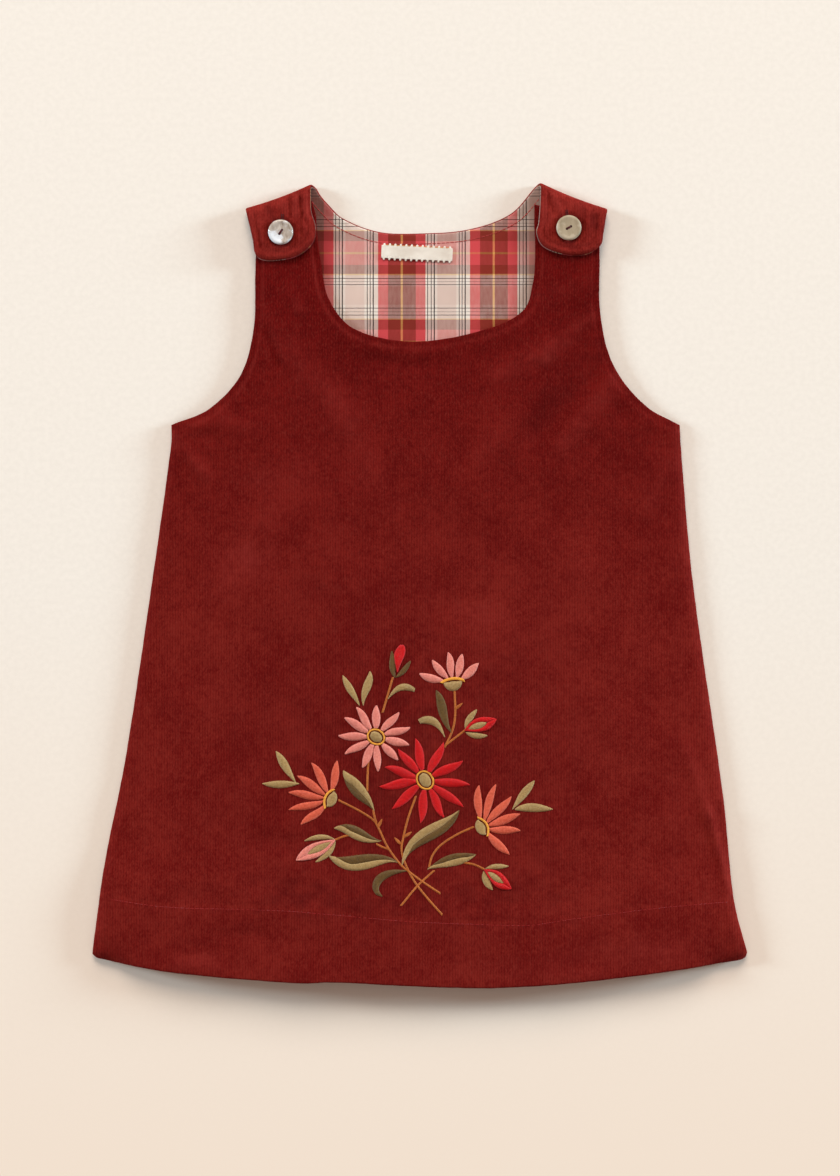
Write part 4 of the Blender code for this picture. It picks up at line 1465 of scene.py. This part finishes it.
# %% Sewing that shows
red_thread = thread_finish("red_sewing_thread", rgb(152, 24, 20), rgb(124, 12, 11), 0.8)
threads("hem_stitches", *along_line(between_sides(hem_top, 3), 2.7, 0.3), 0.08, 0.3,
        front_height, red_thread)
neck_run = neck_stitching[neck_stitching[:, 1] < 228]
neck_thread = thread_finish("brick_sewing_thread", rgb(180, 58, 52), rgb(144, 42, 40), 0.8)
threads("neck_stitches", *along_line(neck_run, 2.5, 0.15), 0.2, 0.46,
        lambda x, y: lining_height(x, y) - NECK_GROOVE, neck_thread)

# %% Buttonholes, and the thread that holds each button
dark_thread = thread_finish("dark_sewing_thread", rgb(92, 26, 24), rgb(52, 10, 12))
hole_thread = thread_finish("buttonhole_thread", rgb(90, 18, 15), rgb(68, 9, 9), 0.9)
BUTTONHOLE_LEAN = {"left": 84, "right": 97}
BUTTONHOLE_SHOWS = (7.6, 10.8)  # from the button's middle: what isn't hidden under it
BAR_PITCH = 0.42
STRAND_APART = 0.38
for side, (x, y, thread_angle) in BUTTONS.items():
    mouth = heading(BUTTONHOLE_LEAN[side])
    sideways = quarter_turn(mouth)
    bars = np.array([(x, y) + mouth * at + sideways * 0.15
                     for at in np.arange(*BUTTONHOLE_SHOWS, BAR_PITCH)])
    threads(f"buttonhole_{side}", np.vstack([bars, bars - sideways * 0.3]),
            np.vstack([bars + sideways * 0.7, bars - sideways * 1.0]),
            0.06, 0.42, tab_height, hole_thread)
    run = heading(thread_angle)
    strands = [(x, y) + quarter_turn(run) * STRAND_APART * row for row in (-1, 0, 1)]
    threads(f"button_thread_{side}", [spot - run * 2.0 for spot in strands],
            [spot + run * 2.0 for spot in strands], 1.15, 0.5,
            lambda px, py: np.full(len(px), BUTTON_LEVEL + 1.1), dark_thread, spans=10)

# %% Stitches and picots of the label
gold_thread = thread_finish("gold_thread", rgb(232, 158, 72), rgb(200, 120, 52), 0.4)
# The lower picots' dark brown thread also stands in as painted shade under the label's lower
# edge.
dark_picot_thread_and_shade = thread_finish("dark_picot_thread_and_shade", rgb(104, 62, 56), rgb(70, 40, 40), 0.5)
pitch = LABEL_SIZE[0] / LABEL_TEETH
notches = np.arange(1, LABEL_TEETH) * pitch - LABEL_SIZE[0] / 2
for name, edge, finish in (("upper", 1, gold_thread), ("lower", -1, dark_picot_thread_and_shade)):
    base = np.full(len(notches), edge * (LABEL_SIZE[1] / 2 - LABEL_TOOTH + 0.15))
    starts, ends = (np.column_stack([notches + pitch * aside, base]) @ LABEL_TURN + LABEL_AT
                    for aside in (-0.3, 0.3))
    threads(f"label_picots_{name}", starts, ends, 0.1, 0.42, label_height, finish, spans=4)

# %% [markdown]
# ## The embroidery
# Satin stitch lays threads side by side across a shape, over a little padding, so each
# petal is a small shining cushion. A daisy petal is a lens on a bent axis. So are a leaf
# and a bud: only the length, the width and the bend change. A leaf in two greens is two
# half lenses that meet along the vein. Stems are the same stitch, very narrow, along a
# curve. The layout is an ordinary country spray: two open daisies, three seen from the
# side, buds and leaves, on stems that cross at the foot.

# %% Satin stitch
PITCH = 0.46
STITCH_WIDTH = PITCH * 1.35
RAGGED = 0.035
fills = {}
dice = np.random.default_rng(24)


def bent_line(start, end, bow, far_bow=None):
    """A line from start to end that bows to its left, or to each side in turn."""
    start, end = np.array(start, float), np.array(end, float)
    far_bow = bow if far_bow is None else far_bow
    along = end - start
    left = quarter_turn(along)
    knots = np.array([start, start + along / 3 + left * bow * 4 / 3,
                      end - along / 3 + left * far_bow * 4 / 3, end])
    t = np.linspace(0, 1, max(6, round(np.linalg.norm(along) * 1.06 / PITCH)))[:, None]
    return (knots[0] * (1 - t) ** 3 + 3 * knots[1] * t * (1 - t) ** 2
            + 3 * knots[2] * t * t * (1 - t) + knots[3] * t**3)


def satin(colour, axis, left, right, padding, slant=0.25, lift=0.0):
    """Lays stitches across an axis, from its left width to its right width."""
    left, right = (np.broadcast_to(width, len(axis)) for width in (left, right))
    across = left_of(axis)
    along = np.stack([across[:, 1], -across[:, 0]], 1)
    ragged = dice.normal(0, RAGGED, (2, len(axis)))
    starts = axis + across * (left + ragged[0])[:, None] - along * (left * slant)[:, None]
    ends = axis - across * (right + ragged[1])[:, None] + along * (right * slant)[:, None]
    wide = left + right
    keep = wide > 0.45
    rise = padding * np.minimum(1, np.maximum(wide, 0.1) / 3.2) ** 0.7
    rise = rise + dice.normal(0, 0.012, len(axis))
    fills.setdefault(colour, []).append((starts[keep], ends[keep], rise[keep],
                                         np.full(keep.sum(), lift)))


def lens(count, widest=0.5, fullness=0.75, blunt=0.03, blunt_tip=0.015):
    """Half width of a petal or leaf along its axis, 0 to 1, cut short where it is blunt."""
    t = np.linspace(blunt, 1 - blunt_tip, count)
    return np.sin(math.pi * t ** (math.log(0.5) / math.log(widest))) ** fullness


def petal(colour, base, tip, width, bow, far_bow=None, widest=0.55, padding=0.6, lift=0.0,
          blunt=0.03, blunt_tip=0.015):
    axis = bent_line(base, tip, bow, far_bow)
    half = lens(len(axis), widest, 0.8, blunt, blunt_tip) * width / 2
    satin(colour, axis, half, half, padding, lift=lift)


def two_tone_leaf(left_colour, right_colour, base, tip, width, bow, far_bow, veins):
    """Two half leaves meeting at a vein, which may wander from one edge to the other."""
    axis = bent_line(base, tip, bow, far_bow)
    half = lens(len(axis), 0.56, 0.9, 0.02) * width / 2
    t = np.linspace(0, 1, len(axis))
    at_base, in_middle, at_tip = veins
    vein = (in_middle + (at_base - in_middle) * (1 - smooth(t, 0.03, 0.3))
            + (at_tip - in_middle) * smooth(t, 0.65, 0.97))
    parting = half * vein
    satin(left_colour, axis, half, 0.25 - parting, 0.6, 0.35)
    satin(right_colour, axis, parting + 0.25, half, 0.6, 0.35)


def polar(centre, degrees, radius):
    return centre + heading(degrees) * radius


# %% Open daisies and daisies seen from the side
DAISIES = [
    # colour   x      y    width ring: long short tilt, then each petal's direction and reach
    ("red", 3.2, -115.2, 5.5, 5.5, 4.5, -55,
     [(27, 24.6), (64, 24.4), (103, 24.8), (131, 24.0), (162, 24.6), (188, 27.0),
      (221, 25.4), (264, 25.0), (297, 24.6), (325, 27.2), (354, 26.2)]),
    ("pink", -25.6, -89.8, 4.9, 5.0, 4.2, -28,
     [(16, 20.8), (47, 19.8), (89, 18.6), (124, 21.0), (149, 21.8), (178, 22.2),
      (209, 21.0), (246, 19.8), (273, 20.4), (313, 18.8), (346, 20.0)]),
]
SIDE_DAISIES = [
    # colour   x      y    facing half sagitta cup bar, each petal's direction and length
    ("pink", 19.4, -57.2, 96, 6.6, 1.6, 5.7, 0.8,
     [(43, 13.2), (77, 14.0), (100, 14.8), (130, 14.0), (163, 14.6)]),
    ("coral", -53.0, -126.0, 155, 6.0, 2.6, 4.5, 0.6,
     [(79, 17.6), (119, 19.3), (146, 19.3), (172, 20.7), (194, 20.9), (219, 17.7)]),
    ("coral", 37.1, -142.5, 28, 6.0, 2.7, 4.4, 0.55,
     [(-45, 17.2), (-3, 18.3), (20, 19.2), (47, 20.4), (72, 22.0), (92, 19.4)]),
]
RING_HALF = 0.52
RING_STEP = 5.2  # degrees from stitch to stitch
RING_TO_PETAL = 0.6
RING_TO_EYE = 1.2
PETAL_BLUNT = 0.13
SIDE_PETAL_WIDTH = 4.9
SIDE_PETAL_BLUNT = 0.08
SIDE_SPREAD = 0.84  # share of its width over which a daisy's petals stand, from the side
CUP_SPREAD = 0.82
ARC_STITCHES = 34


def daisy(colour, x, y, width, ring_long, ring_short, tilt, petals):
    for angle, reach in petals:
        near = math.radians(angle - tilt)
        ring = 1 / math.hypot(math.cos(near) / ring_long, math.sin(near) / ring_short)
        hook = dice.choice([-1, 1]) * dice.uniform(0.03, 0.08)
        root = ring + RING_HALF + RING_TO_PETAL
        petal(colour, polar((x, y), angle + dice.uniform(-2, 2), root),
              polar((x, y), angle, reach), width * dice.uniform(0.93, 1.07),
              -hook * 0.6, hook, 0.5, blunt=PETAL_BLUNT)
    turn = np.radians(np.arange(0, 360, RING_STEP))
    long_way = heading(tilt)
    oval = np.stack([ring_long * np.cos(turn), ring_short * np.sin(turn)], 1)
    oval = oval @ np.stack([long_way, quarter_turn(long_way)]) + (x, y)
    satin("gold", oval, RING_HALF, RING_HALF, 0.7, 0.9)
    ends = long_way * (ring_long - RING_TO_EYE)
    axis = bent_line((x, y) - ends, (x, y) + ends, 0.0)
    round_end = np.sqrt(np.maximum(1 - np.linspace(-1, 1, len(axis)) ** 2, 0))
    half = round_end * (ring_short - RING_TO_EYE)
    satin("light_green", axis, half, half, 0.75, 0.1)


def side_daisy(colour, x, y, facing, half, sagitta, cup, bar, petals):
    ahead, aside = heading(facing), heading(facing + 90)
    middle = np.array([x, y])
    for share, (angle, length) in zip(np.linspace(-1, 1, len(petals)), petals):
        base = (middle + aside * share * half * SIDE_SPREAD
                + ahead * (sagitta * (1 - share**2) + 1.0))
        hook = dice.choice([-1, 1]) * dice.uniform(0.03, 0.07)
        width = SIDE_PETAL_WIDTH * dice.uniform(0.92, 1.08)
        petal(colour, base, polar(base, angle, length), width, share * 0.05 - hook * 0.5,
              share * 0.03 + hook, 0.52, blunt=SIDE_PETAL_BLUNT)
    share = np.linspace(-1, 1, ARC_STITCHES)[:, None]
    arc = middle - aside * share * half + ahead * sagitta * (1 - share**2)
    satin("gold", arc, bar, bar, 0.5, 0.9, 0.25)
    share = np.linspace(-0.94, 0.94, round(half * 1.9 / PITCH))[:, None]
    line = middle + aside * share * half * CUP_SPREAD
    bulge = sagitta * (1 - share[:, 0] ** 2)
    satin("light_green", line, cup * np.sqrt(1 - share[:, 0] ** 2),
          np.maximum(bulge - bar - 0.6, 0) - 0.1, 0.6, 0.0)


for row in DAISIES:
    daisy(*row)
for row in SIDE_DAISIES:
    side_daisy(*row)
print("petals laid in", {colour: len(runs) for colour, runs in fills.items()})

# %% Buds
SEPALS = [
    # green         base x   y      tip x   y      width bows
    ("dark_green", -14.5, -54.7, -16.5, -39.3, 4.0, 0.08, -0.02),
    ("dark_green", -13.9, -54.7, -5.3, -45.0, 3.2, -0.09, -0.03),
    ("light_green", 27.0, -84.9, 33.6, -73.6, 3.7, 0.10, 0.04),
    ("light_green", 27.4, -87.3, 39.8, -89.0, 3.5, -0.10, -0.06),
    ("light_green", 38.8, -167.0, 52.3, -165.6, 3.1, 0.06, 0.02),
    ("light_green", 37.7, -168.8, 42.9, -179.5, 4.1, -0.14, -0.06),
    ("light_green", -50.2, -149.9, -67.8, -150.9, 3.2, -0.12, -0.07),
    ("light_green", -49.7, -151.3, -61.2, -163.3, 3.5, 0.12, 0.08),
]
BUDS = [
    # colour   x      y     tip x   tip y  width  has a heart
    ("red", -13.2, -52.4, -10.4, -36.0, 6.3, False),
    ("red", 26.8, -85.9, 44.8, -79.4, 8.6, True),
    ("red", 38.2, -167.8, 53.6, -178.6, 8.2, True),
    ("pink", -50.0, -150.4, -72.2, -162.0, 8.6, True),
]
HEART = (0.1, 0.72)  # where the green heart begins and ends along a bud
HEART_HALF = 0.23  # its half width, as a share of the bud's width


def bud(colour, x, y, tip_x, tip_y, width, has_heart):
    base, tip = np.array([x, y]), np.array([tip_x, tip_y])
    if not has_heart:
        petal(colour, base, tip, width, 0.02, 0.04, 0.66, 0.8, 0.3, blunt_tip=0.06)
        return
    axis = bent_line(base, tip, 0.0)
    t = np.linspace(0, 1, len(axis))
    half = lens(len(axis), 0.54, 0.8) * width / 2
    begins, ends = HEART
    within = (t > begins) & (t < ends)
    t = np.clip((t - begins) / (ends - begins), 0, 1)
    inner = np.where(within, np.sin(math.pi * t), 0) ** 0.8 * width * HEART_HALF
    satin(colour, axis, half, 0.15 - inner, 0.7, 0.3, 0.3)
    satin(colour, axis, 0.15 - inner, half, 0.7, 0.3, 0.3)
    core = axis[within]
    narrow = lens(len(core), 0.5, 0.75) * width * 0.24
    satin("light_green", core, narrow, narrow, 0.6, 0.3, 0.25)


for colour, x, y, tip_x, tip_y, width, bow, far_bow in SEPALS:
    petal(colour, (x, y), (tip_x, tip_y), width, bow, far_bow, 0.5, 0.55)
for row in BUDS:
    bud(*row)

# %% Leaves
PLAIN_LEAVES = [
    # green        base x   y      tip x    y    width  bows       widest
    ("light_green", -35.2, -71.9, -45.1, -54.0, 4.2, -0.03, 0.03, 0.6),
    ("light_green", -33.1, -71.5, -29.2, -51.6, 4.9, 0.08, -0.06, 0.6),
    ("light_green", -72.4, -117.2, -84.3, -98.6, 4.9, 0.01, 0.0, 0.62),
    ("light_green", -71.1, -117.3, -92.2, -117.3, 4.5, 0.0, 0.04, 0.52),
    ("light_green", 54.3, -132.5, 67.3, -115.8, 4.7, 0.0, 0.02, 0.6),
    ("light_green", 56.4, -132.4, 78.0, -132.3, 5.2, 0.06, 0.03, 0.46),
    ("light_green", -19.4, -68.6, -3.2, -62.2, 4.1, 0.16, 0.31, 0.66),
    ("light_green", 15.7, -92.0, 0.0, -80.7, 4.9, -0.14, -0.34, 0.7),
    ("dark_green", 19.4, -88.0, 9.8, -62.8, 5.6, 0.09, -0.03, 0.62),
]
SHADED_LEAVES = [
    # left         right          base x   y      tip x    y      width bows, vein at each end
    ("dark_green", "light_green", -26.8, -133.0, -44.6, -109.8, 8.2, -0.06, 0.06,
     (0.2, 0.05, 1.0)),
    ("light_green", "dark_green", -22.4, -150.8, -49.8, -143.6, 7.4, 0.07, -0.10,
     (0.0, 0.05, -1.0)),
    ("light_green", "dark_green", -12.8, -163.4, -52.9, -160.0, 9.2, -0.10, 0.17,
     (0.1, 0.1, -1.0)),
    ("light_green", "dark_green", -10.4, -164.6, 23.0, -133.2, 8.8, 0.165, -0.055,
     (-1.0, -0.05, 0.2)),
    ("dark_green", "light_green", 4.9, -167.3, 32.8, -158.8, 7.2, 0.035, 0.015,
     (0.8, 0.1, -0.3)),
]
for colour, x, y, tip_x, tip_y, width, bow, far_bow, widest in PLAIN_LEAVES:
    petal(colour, (x, y), (tip_x, tip_y), width, bow, far_bow, widest, 0.6,
          blunt_tip=0.1 if abs(far_bow) > 0.3 else 0.02)
curl = curve([(-8.0, -168.2), (-16.5, -169.3), (-23.0, -172.4), (-25.6, -176.8),
              (-25.0, -180.6), (-22.2, -183.0)], PITCH)
curl_half = lens(len(curl), 0.62, 0.8, 0.09, 0.02) * 2.4
satin("dark_green", curl, curl_half, curl_half, 0.6, 0.1)
for left, right, x, y, tip_x, tip_y, width, bow, far_bow, veins in SHADED_LEAVES:
    two_tone_leaf(left, right, (x, y), (tip_x, tip_y), width, bow, far_bow, veins)

# %% Stems
STEM_WIDTH = 1.15
STEMS = [
    [(-2.3, -124.8), (-6.9, -138.0), (-9.6, -149.0), (-10.6, -155.4), (-8.9, -163.0),
     (-3.2, -174.2), (4.4, -184.0), (13.0, -193.6)],
    [(-47.4, -127.1), (-35.4, -133.2), (-26.9, -138.8), (-24.2, -143.2), (-18.8, -154.4),
     (-11.0, -164.8), (-4.8, -169.9), (0.8, -174.0), (11.8, -181.3)],
    [(-30.1, -104.2), (-30.6, -113.0), (-30.8, -121.6)],
    [(-27.3, -132.6), (-26.7, -136.0), (-25.4, -140.4)],
    [(-49.4, -150.2), (-45.2, -148.4), (-40.6, -147.4)],
    [(-25.2, -152.8), (-21.4, -154.6), (-17.8, -155.8)],
    [(31.6, -142.6), (22.1, -147.0), (12.4, -153.3), (7.5, -159.4), (5.6, -165.8)],
    [(38.1, -167.5), (32.0, -164.7), (25.6, -163.5)],
    [(8.3, -168.3), (-1.4, -177.2), (-10.8, -188.4)],
    [(-21.7, -75.2), (-19.0, -66.0), (-15.8, -55.0)],
    [(14.8, -95.8), (19.4, -85.6), (20.9, -76.6), (20.5, -63.0)],
    [(15.6, -94.4), (21.0, -90.2), (27.0, -85.6)],
]
THORNS = [
    # base x   y    tip x    y
    (-24.4, -143.2, -22.0, -137.8),
    (-9.0, -148.8, -4.6, -145.4),
    (-10.8, -152.6, -14.9, -148.8),
    (20.6, -74.0, 25.3, -69.8),
]
for knots in STEMS:
    satin("stem", curve(knots, PITCH), STEM_WIDTH / 2, STEM_WIDTH / 2, 0.4, 0.8)
for x, y, tip_x, tip_y in THORNS:
    petal("stem", (x, y), (tip_x, tip_y), 1.9, 0.05, 0.0, 0.4, 0.4)

# %% Lay the embroidery on the cloth
THREADS = {
    # colour: full tone, shade
    "pink": (rgb(230, 146, 130), rgb(206, 113, 101)),
    "red": (rgb(208, 9, 14), rgb(176, 3, 8)),
    "coral": (rgb(220, 104, 76), rgb(192, 76, 52)),
    "light_green": (rgb(180, 149, 98), rgb(150, 120, 73)),
    "dark_green": (rgb(112, 83, 40), rgb(85, 60, 27)),
    "stem": (rgb(188, 106, 40), rgb(150, 76, 24)),
    "gold": (rgb(240, 172, 64), rgb(208, 134, 40)),
}
OVER = {"stem": 0.0, "dark_green": 0.03, "light_green": 0.05, "gold": 0.06}
for colour, runs in fills.items():
    starts, ends, rise, lift = [np.concatenate(part) for part in zip(*runs)]
    finish = thread_finish(f"{colour}_silk", *THREADS[colour], 0.45)
    lift += OVER.get(colour, 0.02)
    threads(f"embroidery_{colour}", starts, ends, rise, STITCH_WIDTH,
                              front_height, finish, RIDGE, lift=lift, flat=0.3)
print("stitches:", sum(len(part[0]) for runs in fills.values() for part in runs))

# %% [markdown]
# ## The pieces of cloth, as cut
# Cloth hardly stretches, so each shell has to measure what its flat cut measured. Here the
# size and area of each flat cut are printed.


def flat_size(cut):
    return tuple(float(v) * MM for v in np.ptp(cut, axis=0))


for cut_name, cut in (("front", front_cut), ("back", back_cut), ("lining", lining_cut)):
    print(cut_name, "cut", [round(v, 4) for v in flat_size(cut)], round(area_of(cut), 4))

# %% [markdown]
# ## Table, light and camera
# The dress lies on plain cream paper under soft daylight. A wide window light beyond the
# neck gives the long soft shadow under the raised hem, two low pale walls shade the sides,
# and an even sky fills the rest. The camera looks straight down through a long lens, so
# nothing leans.

# %% Table


def cream_paper():
    paint = Paint("cream_paper", 0.9, Specular_IOR_Level=0.1)
    tone = paint.stretch(0.35, 0.65, 0.0, 1.0, paint.noise(3.0, 4.0))
    paint.bump(paint.noise(1.2, 3.0), 0.05, 0.25)
    clean = paint.mix(tone, rgb(234, 226, 216), rgb(238, 230, 220))
    # Painted shade: the paper is darker towards the hem, standing in for the light falling off.
    painted_falloff = paint.stretch(0.0, -0.34, 0.0, 1.0, paint.y)
    return paint.colour(paint.mix(painted_falloff, clean, rgb(238, 222, 206)))


TABLE_HALF = 3.0
table_mesh = bpy.data.meshes.new("table")
table_mesh.from_pydata([(x * TABLE_HALF, y * TABLE_HALF, 0.0)
                        for x, y in ((-1, -1), (1, -1), (1, 1), (-1, 1))], [], [(0, 1, 2, 3)])
table_mesh.materials.append(cream_paper())
add_object("table", table_mesh)

# %% Light
SKY = (0.96, 0.785, 0.707, 1.0)
SKY_STRENGTH = 0.374
world = bpy.data.worlds.new("pale_sky")
world.use_nodes = True
sky = world.node_tree.nodes["Background"]
sky.inputs["Color"].default_value = SKY
sky.inputs["Strength"].default_value = SKY_STRENGTH
bpy.context.scene.world = world
LIGHTS = [
    # name            x     y    z   size power colour, in metres and watts
    ("window", -0.2, 7.7, 5.3, 5.9, 742.0, (0.96, 0.824, 0.714)),
    ("left_wall", -5.65, 1.48, 1.6, 1.3, 358.0, (0.58, 0.79, 0.90)),
    ("right_wall", 5.65, 1.48, 1.16, 1.3, 484.0, (0.58, 0.79, 0.90)),
]
for name, x, y, z, size, power, colour in LIGHTS:
    data = bpy.data.lights.new(name, "AREA")
    data.shape = "DISK"
    data.size = size
    data.energy = power
    data.color = colour
    lamp = add_object(name, data)
    lamp.location = (x, y, z)
    lamp.rotation_mode = "QUATERNION"
    lamp.rotation_quaternion = (-lamp.location).to_track_quat("-Z", "Y")

# %% Camera
IMAGE_HIGH = 1176
PIXEL = 0.59 * MM
DRESS_LEVEL = 4 * MM
camera_data = bpy.data.cameras.new("overhead")
camera_data.lens = 85
camera_data.sensor_width = 36
distance = IMAGE_HIGH * PIXEL * camera_data.lens / camera_data.sensor_width
camera = add_object("overhead_camera", camera_data)
camera.location = (0.2 * MM, -2.3 * MM, DRESS_LEVEL + distance)
bpy.context.scene.camera = camera
bpy.context.scene.view_settings.view_transform = "Standard"
print("camera", round(distance, 3), "m above the dress")
